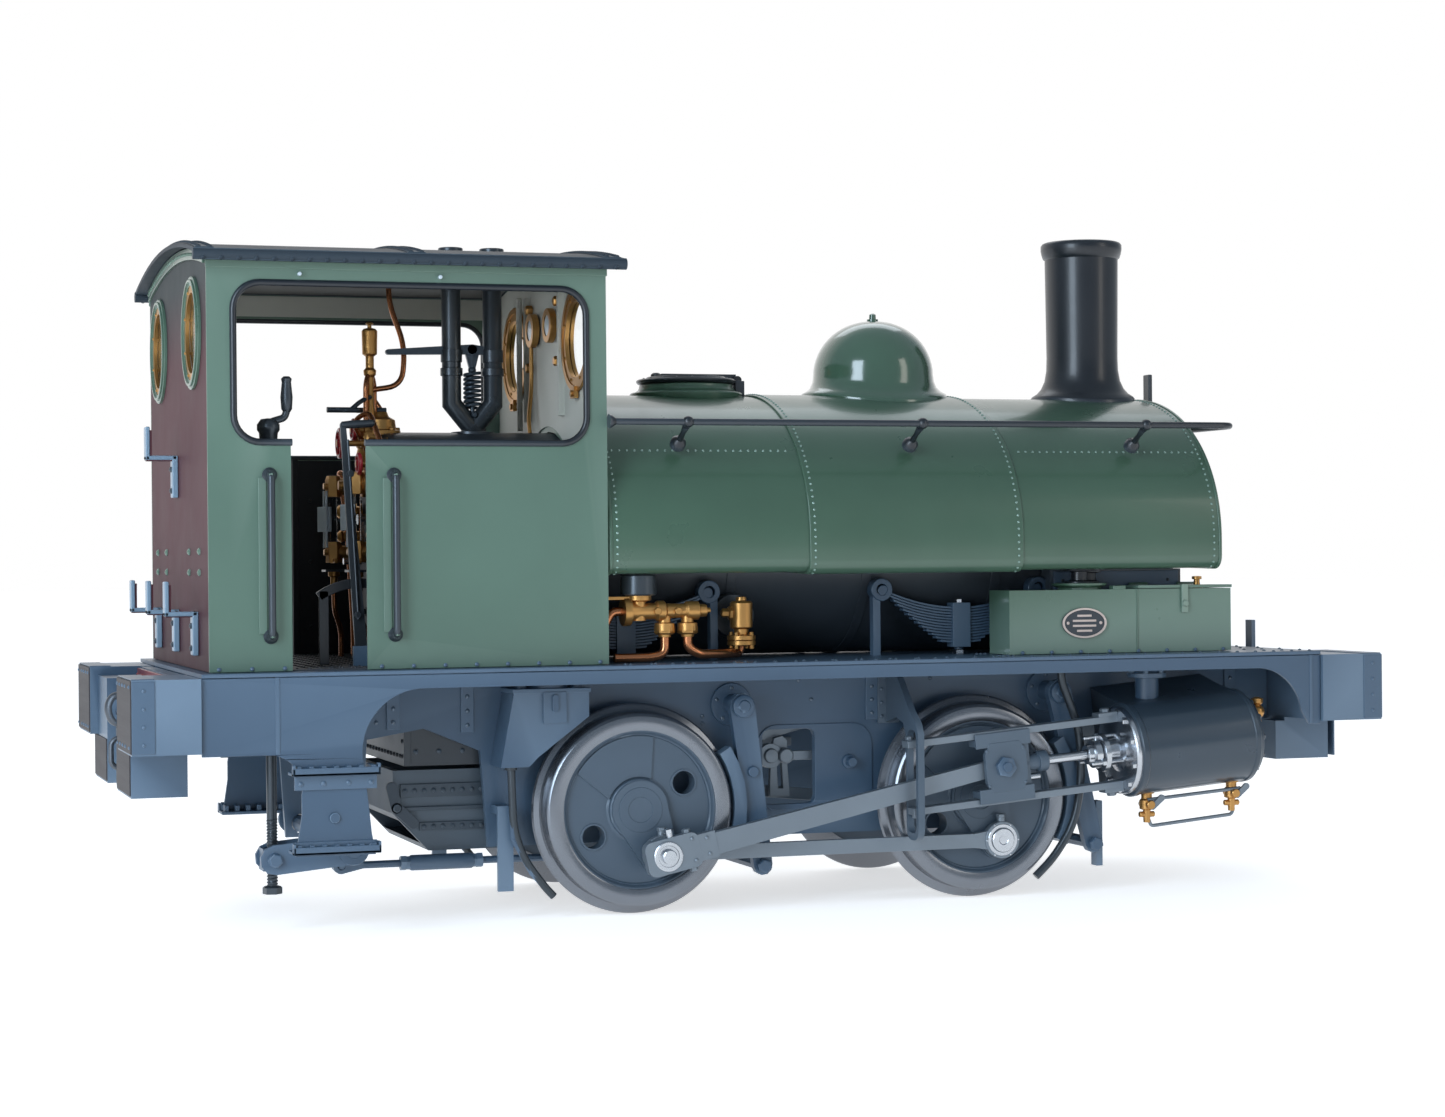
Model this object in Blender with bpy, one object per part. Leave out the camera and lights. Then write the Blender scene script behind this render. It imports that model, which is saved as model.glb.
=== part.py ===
"""A live steam saddle tank shunting engine, 5 inch gauge, four wheels coupled.

The sizes are in millimetres and become metres as each mesh is made.  +X is the chimney end, +Y the
engine's left side, +Z up, and z = 0 is the lowest point of the wheel flanges.
"""

import math

import bmesh
import bpy
from mathutils import Matrix, Vector

MM = 0.001
GAP = 0.3  # left between pieces that rest on each other
SIDES = {"right": -1, "left": 1}

# Driving dimensions
HALF_LENGTH = 275.5
WHEELBASE = 155.1
WHEEL_MID_X = 15.7
TREAD_R = 40.9
FLANGE_R = 44.5
BACK_HALF = 59.3
FACE_HALF = 71.5
AXLE_R = 5.2
AXLE_Z = FLANGE_R
REAR_X = WHEEL_MID_X - WHEELBASE / 2
FRONT_X = WHEEL_MID_X + WHEELBASE / 2
THROW = 20.3
PIN_R = 4.2
CRANK_DEG = {"right": -66.5, "left": 23.5}

COUPLING_Y = (72.8, 76.8)
CONROD_Y = (79.5, 84.5)
CONROD_LENGTH = 155.3
CYLINDER_Y = 82.5
CYLINDER_R = 20.5
CYLINDER_SLOPE_DEG = 5.05
CYLINDER_S = (220.4, 276.6)
BORE_R = 15.3
PISTON_ROD_R = 2.2
BAR_H = (13.0, 16.0)
BAR_Y = (79.0, 86.0)

PLATE_TOP = 106.4
PLATE_THICK = 1.6
PLATE_HALF = 99.6
PLATE_REAR = -248.3
PLATE_FRONT = 245.7
DEEP_Z = 74.0
VALANCE_Z = 99.2
FRAME_Y = (49.0, 52.0)

BOILER_Z = 156.2
BOILER_R = 49.5
FIREBOX_REAR = -157.0
SMOKEBOX_X = (134.3, 199.0)
TANK_X = (-79.8, 203.0)
TANK_HALF = 88.6
TANK_TOP = 222.5
TANK_BOTTOM = 143.7
TANK_WAIST_Z = 156.0
TANK_POWER = 2.1
CHIMNEY_X = 178.2
DOME_X = 72.6
FILLER_X = -17.5

CAB_X = (-243.8, -80.3)
CAB_HALF = 89.8
SHEET = 1.2
ROOF_X = (-249.6, -73.5)
ROOF_HALF = 97.0
ROOF_CREST = 282.2
ROOF_RADIUS = 517.0
ROOF_THICK = 1.6
WINDOW_Y = 52.5
WINDOW_Z = 243.2
WINDOW_R = 20.0
SAFETY_X = (-124.9, -106.5)
SAFETY_PIPE_R = 3.4

LEVER_PIVOT = (-177.0, -58.0, 112.0)
BRAKE_X = -215.9
BRAKE_Y = -66.0
BRAKE_SHAFT = (-184.0, 33.0)
BRAKE_PULL_Y = -45.0
BRAKE_PULL_Z = 23.6
HANGERS = {"rear": ((-15.0, 86.8), (-6.3, 18.5), REAR_X), "front": ((133.3, 89.3), (149.6, 21.7), FRONT_X)}

GREEN = ("green", (0.085, 0.165, 0.115), 0.35, 0.0)
SLATE = ("slate", (0.075, 0.105, 0.145), 0.45, 0.0)
BLACK = ("black", (0.012, 0.015, 0.020), 0.40, 0.0)
STEEL = ("steel", (0.42, 0.43, 0.44), 0.32, 1.0)
BRASS = ("brass", (0.62, 0.36, 0.12), 0.30, 1.0)


# --- shapes, as bmeshes in millimetres -------------------------------------------------------------

def prism(outline, axis, low, high):
    """An outline drawn in the plane across an axis, run along that axis from low to high.

    The outline's points are (y, z) for X, (x, z) for Y and (x, y) for Z.
    """
    low, high = sorted((low, high))
    place = {
        "X": lambda a, b, along: (along, a, b),
        "Y": lambda a, b, along: (a, along, b),
        "Z": lambda a, b, along: (a, b, along),
    }[axis]
    bm = bmesh.new()
    start = [bm.verts.new(place(a, b, low)) for a, b in outline]
    end = [bm.verts.new(place(a, b, high)) for a, b in outline]
    bm.faces.new(start)
    bm.faces.new(list(reversed(end)))
    for i in range(len(outline)):
        j = (i + 1) % len(outline)
        bm.faces.new((start[i], end[i], end[j], start[j]))
    bmesh.ops.recalc_face_normals(bm, faces=bm.faces)
    return bm


def block(x, y, z):
    """A box from three (low, high) pairs."""
    return prism([(x[0], z[0]), (x[1], z[0]), (x[1], z[1]), (x[0], z[1])], "Y", *y)


def turned(start, direction, profile, segments=20):
    """A turned shape: profile points are (along, radius), measured from start along direction."""
    axis = Vector(direction).normalized()
    across = axis.orthogonal().normalized()
    bm = bmesh.new()
    verts = [bm.verts.new(Vector(start) + axis * along + across * radius) for along, radius in profile]
    edges = [bm.edges.new((verts[i], verts[i + 1])) for i in range(len(verts) - 1)]
    bmesh.ops.spin(
        bm, geom=verts + edges, cent=start, axis=axis, angle=2 * math.pi, steps=segments, use_merge=True
    )
    bmesh.ops.remove_doubles(bm, verts=bm.verts, dist=1e-4)
    bmesh.ops.holes_fill(bm, edges=[edge for edge in bm.edges if edge.is_boundary])
    bmesh.ops.recalc_face_normals(bm, faces=bm.faces)
    return bm


def drum(start, direction, length, radius, segments=16):
    """A plain cylinder from start along direction."""
    return turned(start, direction, [(0, radius), (length, radius)], segments)


def rod(points, radius, segments=8):
    """A round rod or pipe through points, mitred at its bends."""
    path = [Vector(point) for point in points]
    bm = bmesh.new()
    rings = []
    reference = None
    for i, point in enumerate(path):
        before = (point - path[i - 1]).normalized() if i else None
        after = (path[i + 1] - point).normalized() if i < len(path) - 1 else None
        tangent = (before + after).normalized() if before and after else (before or after)
        along = before or after
        if reference is None:
            reference = along.orthogonal().normalized()
        side = (reference - along * reference.dot(along)).normalized()
        up = along.cross(side)
        ring = []
        for k in range(segments):
            angle = 2 * math.pi * (k + 0.5) / segments
            offset = (side * math.cos(angle) + up * math.sin(angle)) * radius
            offset -= along * (offset.dot(tangent) / along.dot(tangent))
            ring.append(bm.verts.new(point + offset))
        reference = side
        rings.append(ring)
    for first, second in zip(rings, rings[1:]):
        for k in range(segments):
            n = (k + 1) % segments
            bm.faces.new((first[k], first[n], second[n], second[k]))
    bm.faces.new(list(reversed(rings[0])))
    bm.faces.new(rings[-1])
    bmesh.ops.recalc_face_normals(bm, faces=bm.faces)
    return bm


def arc(centre, radius, start_deg, end_deg, steps):
    """Points along a circle's arc."""
    turn = [math.radians(start_deg + (end_deg - start_deg) * i / steps) for i in range(steps + 1)]
    return [(centre[0] + radius * math.cos(a), centre[1] + radius * math.sin(a)) for a in turn]


def rounded(x, z, radius, steps=4):
    """A rectangle with round corners."""
    corners = ((x[1], z[0], -90), (x[1], z[1], 0), (x[0], z[1], 90), (x[0], z[0], 180))
    points = []
    for cx, cz, turn in corners:
        centre = (cx - math.copysign(radius, cx - sum(x) / 2), cz - math.copysign(radius, cz - sum(z) / 2))
        points += arc(centre, radius, turn, turn + 90, steps)
    return points


def link(first, second, radius_first, radius_second, y, steps=5):
    """A flat link in the X-Z plane with a round eye at each end, run along Y between two values."""
    way = math.degrees(math.atan2(second[1] - first[1], second[0] - first[0]))
    outline = arc(first, radius_first, way + 90, way + 270, steps)
    outline += arc(second, radius_second, way - 90, way + 90, steps)
    return prism(outline, "Y", *y)


def tilted(bm):
    """Turns a shape drawn along a level cylinder line up to the real, sloping one."""
    centre = Vector((REAR_X, 0, AXLE_Z))
    bmesh.ops.rotate(bm, verts=bm.verts, cent=centre, matrix=Matrix.Rotation(
        -math.radians(CYLINDER_SLOPE_DEG), 3, "Y"))
    return bm


# --- objects ---------------------------------------------------------------------------------------

def clear_scene():
    for obj in list(bpy.data.objects):
        bpy.data.objects.remove(obj, do_unlink=True)


def material(look):
    name, colour, roughness, metallic = look
    found = bpy.data.materials.get(name)
    if found:
        return found
    made = bpy.data.materials.new(name)
    made.use_nodes = True
    shader = made.node_tree.nodes["Principled BSDF"]
    shader.inputs["Base Color"].default_value = (*colour, 1.0)
    shader.inputs["Roughness"].default_value = roughness
    shader.inputs["Metallic"].default_value = metallic
    return made


def as_object(name, bm, pivot=(0, 0, 0)):
    """Makes an object of a shape, with its origin at the pivot."""
    bmesh.ops.translate(bm, verts=bm.verts, vec=-Vector(pivot))
    bmesh.ops.scale(bm, verts=bm.verts, vec=(MM, MM, MM))
    mesh = bpy.data.meshes.new(name)
    bm.to_mesh(mesh)
    bm.free()
    obj = bpy.data.objects.new(name, mesh)
    obj.location = Vector(pivot) * MM
    bpy.context.scene.collection.objects.link(obj)
    return obj


def solid(name, look, shapes, cuts=(), pivot=(0, 0, 0)):
    """One closed body: the first shape joined with the others, less the cuts."""
    body = as_object(name, shapes[0], pivot)
    tools = []
    for operation, others in (("UNION", shapes[1:]), ("DIFFERENCE", cuts)):
        for bm in others:
            tool = as_object(f"{name}_tool", bm, pivot)
            tools.append(tool)
            modifier = body.modifiers.new(operation.title(), "BOOLEAN")
            modifier.operation = operation
            modifier.solver = "EXACT"
            modifier.object = tool
    if tools:
        bpy.context.view_layer.update()
        shape = bpy.data.meshes.new_from_object(body.evaluated_get(bpy.context.evaluated_depsgraph_get()))
        body.modifiers.clear()
        body.data = shape
        for tool in tools:
            bpy.data.objects.remove(tool, do_unlink=True)
    body.data.materials.clear()
    body.data.materials.append(material(look))
    body.data.shade_smooth()
    body.data.set_sharp_from_angle(angle=math.radians(35))
    return body


def on(side, low, high):
    """A (low, high) pair of distances from the centre line, put on one side of the engine."""
    return (side * low, side * high)


# --- frames and running plate ----------------------------------------------------------------------

def frames():
    horn = 10.0
    deep = 29.7
    outline = [(PLATE_REAR + 0.6, 104.5), (PLATE_REAR + 0.6, DEEP_Z), (-194.0, DEEP_Z)]
    outline += [(-191.0, 27.0), (-177.0, 27.0), (-174.0, DEEP_Z + 2), (-150.0, 80.0), (-126.0, 70.0)]
    outline += [(-123.0, deep)]
    for axle in (REAR_X, FRONT_X):
        outline += [(axle - horn, deep), (axle - horn, 56.0), (axle + horn, 56.0), (axle + horn, deep)]
    outline += [(146.0, deep), (146.0, DEEP_Z), (PLATE_FRONT - 0.3, DEEP_Z), (PLATE_FRONT - 0.3, 104.5)]
    for word, side in SIDES.items():
        shapes = [prism(outline, "Y", *on(side, *FRAME_Y))]
        for (x, z), _, _ in HANGERS.values():
            boss = [(0, 8.5), (2.4, 8.5), (2.4, 3.2), (19, 3.2)]
            shapes.append(turned((x, side * 51, z), (0, side, 0), boss, 12))
        hopper = [(-116.0, 95.5), (-84.0, 95.5), (-84.0, 84.5)]
        hopper += [(-106.0, 68.0), (-110.0, 64.0), (-122.0, 64.0)]
        shapes.append(prism(hopper, "Y", *on(side, 51.5, 72.0)))
        pipe = [(-116.5, 66.0), (-115.5, 34.0), (-108.0, 20.0), (-99.0, 9.5)]
        shapes.append(rod([(x, side * 66.8, z) for x, z in pipe], 1.5, 6))
        shapes.append(block((-121.6, -115.0), on(side, 50.5, 64.0), (44.0, 47.5)))
        shapes.append(block((-121.6, -115.0), on(side, 62.0, 64.0), (12.0, 47.5)))
        shapes.append(block((143.0, 146.0), on(side, 50.5, 60.0), (31.0, 35.0)))
        shapes.append(block((143.0, 156.0), on(side, 57.5, 60.0), (31.0, 40.0)))
        shapes.append(block((153.0, 156.0), on(side, 57.5, 63.0), (11.0, 40.0)))
        cuts = [
            prism(rounded((-0.9, 23.2), (42.9, 75.4), 3.0, 2), "Y", *on(side, 45, 56)),
            drum((BRAKE_SHAFT[0], side * 45, BRAKE_SHAFT[1]), (0, side, 0), 12, 4.4, 12),
        ]
        solid(f"main_frame_{word}", SLATE, shapes, cuts)


def buffer_beams():
    for word, end in (("rear", -1), ("front", 1)):
        face = HALF_LENGTH
        inner = abs(PLATE_REAR if end < 0 else PLATE_FRONT) + GAP
        lower = (249.6, 272.0) if end < 0 else (241.4, 268.3)
        shapes = [block(on(end, inner, inner + 5.4), (-98.0, 98.0), (76.0, 104.4))]
        for side in SIDES.values():
            shapes.append(block(on(end, inner, face), on(side, 54.0, 101.4), (75.3, 104.7)))
            shapes.append(block(on(end, max(lower[0], inner), lower[1]), on(side, 19.0, 67.0), (56.2, 101.0)))
            shapes.append(block(on(end, lower[0], lower[1]), on(side, 54.5, 67.0), (56.2, 73.6)))
        hook = arc((inner + 19, 88), 6, 130, 420, 10) + arc((inner + 19, 88), 3.2, 420, 130, 10)
        hook = [(end * a, b) for a, b in hook]
        shapes.append(prism(hook, "Y", -2.2, 2.2))
        shapes.append(block(on(end, inner + 4, inner + 14.5), (-2.2, 2.2), (84.5, 90.5)))
        if end > 0:
            shapes.append(block((inner + 4, inner + 21), (-3, 3), (102.4, 104.4)))
            shapes.append(block((inner + 19, inner + 21), (-3, 3), (102.4, 118.0)))
        solid(f"{word}_buffer_beam", SLATE, shapes)


def running_plate():
    cuts = [
        block((FIREBOX_REAR - 0.6, -75.4), (-46.5, 46.5), (100, 110)),
        drum((BRAKE_X, BRAKE_Y, 100), (0, 0, 1), 10, 3.4, 12),
    ]
    for axle in (REAR_X, FRONT_X):
        for side in SIDES.values():
            cuts.append(drum((axle, side * 46.5, 100), (0, 0, 1), 10, 2.6, 8))
    x, y, z = LEVER_PIVOT
    length, width = (PLATE_REAR, PLATE_FRONT), (-PLATE_HALF, PLATE_HALF)
    shapes = [block(length, width, (PLATE_TOP - PLATE_THICK, PLATE_TOP))]
    shapes.append(block((x - 4, x + 4), (y - 3.4, y - 1.4), (PLATE_TOP - 1, z + 3.2)))
    shapes.append(drum((x, y - 2.4, z), (0, 1, 0), 4.6, 1.1, 8))
    solid("running_plate", SLATE, shapes, cuts)


def valances():
    top = PLATE_TOP - PLATE_THICK - GAP
    outline = [(PLATE_REAR, top), (PLATE_REAR, DEEP_Z), (-219.0, DEEP_Z)]
    outline += arc((-224.0, 58.0), 16.5, 75, 20, 3)
    outline += [(-206.5, 50.0), (-210.5, 41.0), (-211.0, 33.0)]
    outline += [(-181.0, 33.0), (-181.0, 45.0), (-184.5, 60.0)]
    outline += arc((-160.0, DEEP_Z), 25.0, 185, 90, 6)
    outline += arc((214.5, VALANCE_Z - 22.0), 22.0, 90, 8, 5)
    outline += [(240.0, DEEP_Z), (PLATE_FRONT, DEEP_Z), (PLATE_FRONT, top)]
    for word, side in SIDES.items():
        shapes = [prism(outline, "Y", *on(side, PLATE_HALF - 1.8, PLATE_HALF))]
        for low in (34.5, 65.5):
            tread = (-212.0, -180.0)
            edge = PLATE_HALF + 1.6
            shapes.append(block(tread, on(side, PLATE_HALF - 9, edge), (low, low + 1.6)))
            shapes.append(block(tread, on(side, PLATE_HALF - 1, edge), (low, low + 5.0)))
        solid(f"valance_{word}", SLATE, shapes)


# --- cab -------------------------------------------------------------------------------------------

def roof_under(y):
    return ROOF_CREST - ROOF_THICK - y * y / (2 * ROOF_RADIUS)


def cab():
    door = (-210.9, -180.7)
    for word, side in SIDES.items():
        height = (PLATE_TOP + GAP, roof_under(CAB_HALF) - GAP)
        sheet = block(CAB_X, on(side, CAB_HALF - SHEET, CAB_HALF), height)
        shapes = [sheet]
        for x in (-219.5, -169.5):
            rail = [(x, side * 89, 185), (x, side * 94, 184), (x, side * 94, 121), (x, side * 89, 120)]
            shapes.append(rod(rail, 1.3, 6))
        cuts = [
            prism(rounded((-233.4, -88.9), (197.5, 260.8), 10.7), "Y", *on(side, 85, 92)),
            block(door, on(side, 85, 92), (100, 205)),
        ]
        solid(f"cab_side_{word}", GREEN, shapes, cuts)

    half = CAB_HALF - SHEET - GAP
    steps = 12
    crown = [half - 2 * half * i / steps for i in range(steps + 1)]
    outline = [(-half, PLATE_TOP + GAP), (half, PLATE_TOP + GAP)]
    outline += [(y, roof_under(y) - GAP) for y in crown]
    windows = [(side * WINDOW_Y, WINDOW_Z) for side in SIDES.values()]

    rear = [prism(outline, "X", CAB_X[0], CAB_X[0] + SHEET)]
    for y, z in ((0, 186.0), (-58, 121.0), (0, 121.0), (58, 121.0)):
        rear.append(block((CAB_X[0] - 2.5, CAB_X[0] + 0.5), (y - 3, y + 3), (z - 7, z + 9)))
        rear.append(block((CAB_X[0] - 13, CAB_X[0] - 0.5), (y - 3, y + 3), (z + 7, z + 9)))
        rear.append(block((CAB_X[0] - 13, CAB_X[0] - 11), (y - 3, y + 3), (z + 7, z + 20)))
    holes = [drum((CAB_X[0] - 5, y, z), (1, 0, 0), 10, WINDOW_R) for y, z in windows]
    solid("cab_rear", GREEN, rear, holes)

    arch = [(-53.0, 100), (53.0, 100), (53.0, 140)] + arc((0, BOILER_Z), 50.2, 0, 180, 16) + [(-53.0, 140)]
    holes = [drum((CAB_X[1] - 5, y, z), (1, 0, 0), 10, WINDOW_R) for y, z in windows]
    holes.append(prism(arch, "X", CAB_X[1] - 5, CAB_X[1] + 5))
    solid("cab_front", GREEN, [prism(outline, "X", CAB_X[1] - SHEET, CAB_X[1])], holes)

    steps = 16
    across = [ROOF_HALF - 2 * ROOF_HALF * i / steps for i in range(steps + 1)]
    band = [(y, roof_under(y) + ROOF_THICK) for y in across] + [(y, roof_under(y)) for y in reversed(across)]
    shapes = [prism(band, "X", *ROOF_X)]
    for side in SIDES.values():
        shapes.append(block(ROOF_X, on(side, ROOF_HALF - 2, ROOF_HALF + 0.4), (268.8, 273.2)))
    holes = [drum((x, 0, 270), (0, 0, 1), 20, SAFETY_PIPE_R + 0.4, 16) for x in SAFETY_X]
    solid("cab_roof", BLACK, shapes, holes)


# --- boiler, smokebox and tank ---------------------------------------------------------------------

def tank_outline(grow=0.0, steps=20):
    """The saddle tank's outside: a full arch with a tight turn under each side."""
    half = TANK_HALF + grow
    rise = TANK_TOP - TANK_WAIST_Z + grow
    outline = []
    for i in range(steps + 1):
        angle = math.pi * i / steps
        c, s = math.cos(angle), math.sin(angle)
        y = half * math.copysign(abs(c) ** (2 / TANK_POWER), c)
        outline.append((y, TANK_WAIST_Z + rise * abs(s) ** (2 / TANK_POWER)))
    turn = 6.0
    left = arc((-half + turn, TANK_BOTTOM + turn - grow), turn, 180, 270, 3)
    right = arc((half - turn, TANK_BOTTOM + turn - grow), turn, 270, 360, 3)
    return outline + left + right


def boiler_and_tank():
    wrapper = arc((0, BOILER_Z), BOILER_R, 0, 180, 20) + [(-45.0, 140), (-45.0, 64), (45.0, 64), (45.0, 140)]
    barrel = drum((-78, 0, BOILER_Z), (1, 0, 0), SMOKEBOX_X[0] - GAP + 78, BOILER_R, 28)
    firehole = prism(arc((0, 128), 13, 0, 360, 16)[:-1], "X", FIREBOX_REAR - 1, FIREBOX_REAR + 14)
    solid("boiler", BLACK, [prism(wrapper, "X", FIREBOX_REAR, -76), barrel], [firehole])

    box = drum((SMOKEBOX_X[0], 0, BOILER_Z), (1, 0, 0), SMOKEBOX_X[1] - SMOKEBOX_X[0], BOILER_R + 0.6, 28)
    saddle = block(SMOKEBOX_X, (-57, 57), (PLATE_TOP + GAP, TANK_BOTTOM - GAP))
    cuts = [
        drum((SMOKEBOX_X[0] + 3, 0, BOILER_Z), (1, 0, 0), SMOKEBOX_X[1] - SMOKEBOX_X[0] - 6, 44, 24),
        drum((SMOKEBOX_X[1] - 5, 0, BOILER_Z), (1, 0, 0), 10, 37, 24),
        drum((CHIMNEY_X, 0, BOILER_Z), (0, 0, 1), 60, 13, 14),
    ]
    solid("smokebox", BLACK, [box, saddle], cuts)

    body = prism(tank_outline(), "X", *TANK_X)
    top = TANK_TOP + 5.2
    neck = turned((FILLER_X, 0, 205), (0, 0, 1), [(0, 22.3), (18.5, 22.3), (20, 20.3), (top - 205, 20.3)])
    end = TANK_X[1]
    iron = block((end - 1, end + 2), (-3, 3), (206, 220))
    shelf = block((end - 1, end + 10.4), (-3, 3), (218, 220))
    horn = block((end + 8.4, end + 10.4), (-3, 3), (218, 235))
    cuts = [
        drum((TANK_X[0] - 5, 0, BOILER_Z), (1, 0, 0), TANK_X[1] - TANK_X[0] + 10, BOILER_R + 1.6, 28),
        block((TANK_X[0] - 5, TANK_X[1] + 5), (-51.1, 51.1), (130, BOILER_Z)),
        drum((CHIMNEY_X, 0, 190), (0, 0, 1), 50, 13, 14),
        drum((FILLER_X, 0, 212), (0, 0, 1), 30, 17.5, 14),
    ]
    solid("saddle_tank", GREEN, [body, neck, iron, shelf, horn], cuts)

    under = prism(tank_outline(GAP), "X", TANK_X[0] - 20, TANK_X[1] + 20)
    profile = [(214, 24.5), (221.8, 24.5), (224, 22), (228, 19.6), (235, 17.3), (243, 16.6), (288, 17.0)]
    profile += [(290.5, 18.9), (295, 18.9), (296.8, 17.6)]
    chimney = turned((CHIMNEY_X, 0, 0), (0, 0, 1), profile, 20)
    solid("chimney", BLACK, [chimney], [under, drum((CHIMNEY_X, 0, 200), (0, 0, 1), 110, 13, 16)])

    under = prism(tank_outline(GAP), "X", TANK_X[0] - 20, TANK_X[1] + 20)
    profile = [(205, 34.2), (219, 34.2), (222, 31.5), (226, 28.6), (231, 27.6)]
    for lift in range(22, 71, 16):
        way = math.radians(lift)
        profile.append((231 + 27.6 * math.sin(way), 27.6 * math.cos(way)))
    profile += [(258.0, 5.0), (258.6, 2.0), (261.4, 1.6)]
    solid("steam_dome", GREEN, [turned((DOME_X, 0, 0), (0, 0, 1), profile, 20)], [under])


def handrail():
    """The rail along both tank sides and round the front, on turned stanchions."""
    y, z = 92.4, 206.6
    front = TANK_X[1] + 5.5
    bend = 8.0
    path = [(CAB_X[1] + 2, -y, z), (front - bend, -y, z), (front, -y + bend, z)]
    path += [(x, -yy, zz) for x, yy, zz in reversed(path)]
    shapes = [rod(path, 1.4, 8)]
    for x in (-46.0, 58.9, 164.6):
        for side in SIDES.values():
            shapes.append(rod([(x, side * (y - 0.5), z), (x, side * 74, z - 9.5)], 1.5, 6))
    under = prism(tank_outline(GAP), "X", TANK_X[0] - 20, TANK_X[1] + 1)
    solid("tank_handrail", BLACK, shapes, [under])


def front_boxes():
    for word, side in SIDES.items():
        y = on(side, 58.5, 80.0)
        shapes = [block((104.0, 212.0), y, (PLATE_TOP + GAP, 134.6))]
        shapes.append(drum((142.7, side * 69, 134), (0, 0, 1), 3.4, 9.6, 14))
        cuts = [block((167.0, 210.4), on(side, 60.0, 78.5), (108.5, 140))]
        solid(f"sandbox_{word}", GREEN, shapes, cuts)
        lid = [block((166.0, 212.4), on(side, 59.5, 80.4), (134.9, 136.2))]
        lid.append(block((187, 190), on(side, 80.2, 81.0), (126.0, 136.2)))
        solid(f"toolbox_lid_{word}", GREEN, lid, pivot=(189, side * 59.5, 135.5))


def springs():
    """Leaf springs over the axleboxes, each with its hangers and its box."""
    for end, axle in (("rear", REAR_X), ("front", FRONT_X)):
        for word, side in SIDES.items():
            leaf = [(-37.5, 136.0), (-20.0, 129.5), (0.0, 127.2), (20.0, 129.5), (37.5, 136.0), (37.5, 134.2)]
            leaf += [(8.0, 111.0), (-8.0, 111.0), (-37.5, 134.2)]
            shapes = [prism([(axle + a, b) for a, b in leaf], "Y", *on(side, 46.6, 51.6))]
            shapes.append(block((axle - 4, axle + 4), on(side, 44.6, 52.2), (109.5, 129.5)))
            shapes.append(drum((axle, side * 46.5, 55), (0, 0, 1), 56, 2.0, 8))
            shapes.append(block((axle - 9.7, axle + 9.7), on(side, 44.0, 53.5), (33.0, 55.7)))
            for hand in (-1, 1):
                x = axle + hand * 37.0
                shapes.append(drum((x, side * 46.4, 134.6), (0, side, 0), 5.4, 2.8, 8))
                shapes.append(block((x - 1.2, x + 1.2), on(side, 47.2, 51.0), (PLATE_TOP + GAP, 134)))
            cuts = [drum((axle, side * 40, AXLE_Z), (0, side, 0), 20, AXLE_R + 0.3, 14)]
            solid(f"spring_{end}_{word}", SLATE, shapes, cuts)


def ashpan():
    outline = [(-161, 62), (-161, 44), (-146, 28), (-104, 28), (-104, 62)]
    solid("ashpan", BLACK, [prism(outline, "Y", -41, 41)], [block((-158, -107), (-38, 38), (31, 70))])


# --- wheels and motion -----------------------------------------------------------------------------

def wheelsets():
    profile = [(0, 0), (0, FLANGE_R - 0.7), (1.2, FLANGE_R), (3.2, TREAD_R + 0.3), (11.4, TREAD_R - 0.2)]
    profile += [(12.2, TREAD_R - 1.1), (12.2, 32.5), (9.8, 32.0), (9.8, 0)]
    for end, axle in (("rear", REAR_X), ("front", FRONT_X)):
        inside = BACK_HALF - GAP
        shapes = [drum((axle, -inside, AXLE_Z), (0, 1, 0), 2 * inside, AXLE_R, 14)]
        if end == "rear":
            for y, lead in ((-33, 40), (-22, 220), (22, 130), (33, 310)):
                way = math.radians(lead)
                centre = (axle + 3.6 * math.cos(way), y - 3, AXLE_Z + 3.6 * math.sin(way))
                shapes.append(drum(centre, (0, 1, 0), 6, 13, 14))
        solid(f"{end}_axle", STEEL, shapes, pivot=(axle, 0, AXLE_Z))
        for word, side in SIDES.items():
            crank = math.radians(CRANK_DEG[word])
            pin = (axle + THROW * math.cos(crank), AXLE_Z + THROW * math.sin(crank))
            shapes = [turned((axle, side * BACK_HALF, AXLE_Z), (0, side, 0), profile, 28)]
            shapes.append(link((axle, AXLE_Z), pin, 12.6, 8.2, on(side, 68.5, FACE_HALF + 0.8), 6))
            reach = CONROD_Y[0] - GAP if end == "rear" else COUPLING_Y[1] + GAP
            shapes.append(drum((pin[0], side * 68, pin[1]), (0, side, 0), reach - 68, PIN_R, 12))
            if end == "front":
                shapes.append(drum((pin[0], side * (reach - 0.1), pin[1]), (0, side, 0), 1.0, 5.4, 12))
            cuts = []
            for turn in (94.5, -84.5):
                way = crank + math.radians(turn)
                at = (axle + 22.6 * math.cos(way), side * 55, AXLE_Z + 22.6 * math.sin(way))
                cuts.append(drum(at, (0, side, 0), 20, 5.0, 8))
            solid(f"{end}_wheel_{word}", SLATE, shapes, cuts, pivot=(axle, 0, AXLE_Z))


def crank_pin(word, axle):
    way = math.radians(CRANK_DEG[word])
    return (axle + THROW * math.cos(way), AXLE_Z + THROW * math.sin(way))


def engine_line(s, h=0.0):
    """A point on the cylinder line: s from the rear axle, h above the line, as (x, z)."""
    slope = math.radians(CYLINDER_SLOPE_DEG)
    x = REAR_X + s * math.cos(slope) - h * math.sin(slope)
    return (x, AXLE_Z + s * math.sin(slope) + h * math.cos(slope))


def gudgeon_s(word):
    """How far along the cylinder line the gudgeon pin lies at rest."""
    turn = math.radians(CRANK_DEG[word] - CYLINDER_SLOPE_DEG)
    return THROW * math.cos(turn) + math.sqrt(CONROD_LENGTH ** 2 - (THROW * math.sin(turn)) ** 2)


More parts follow.
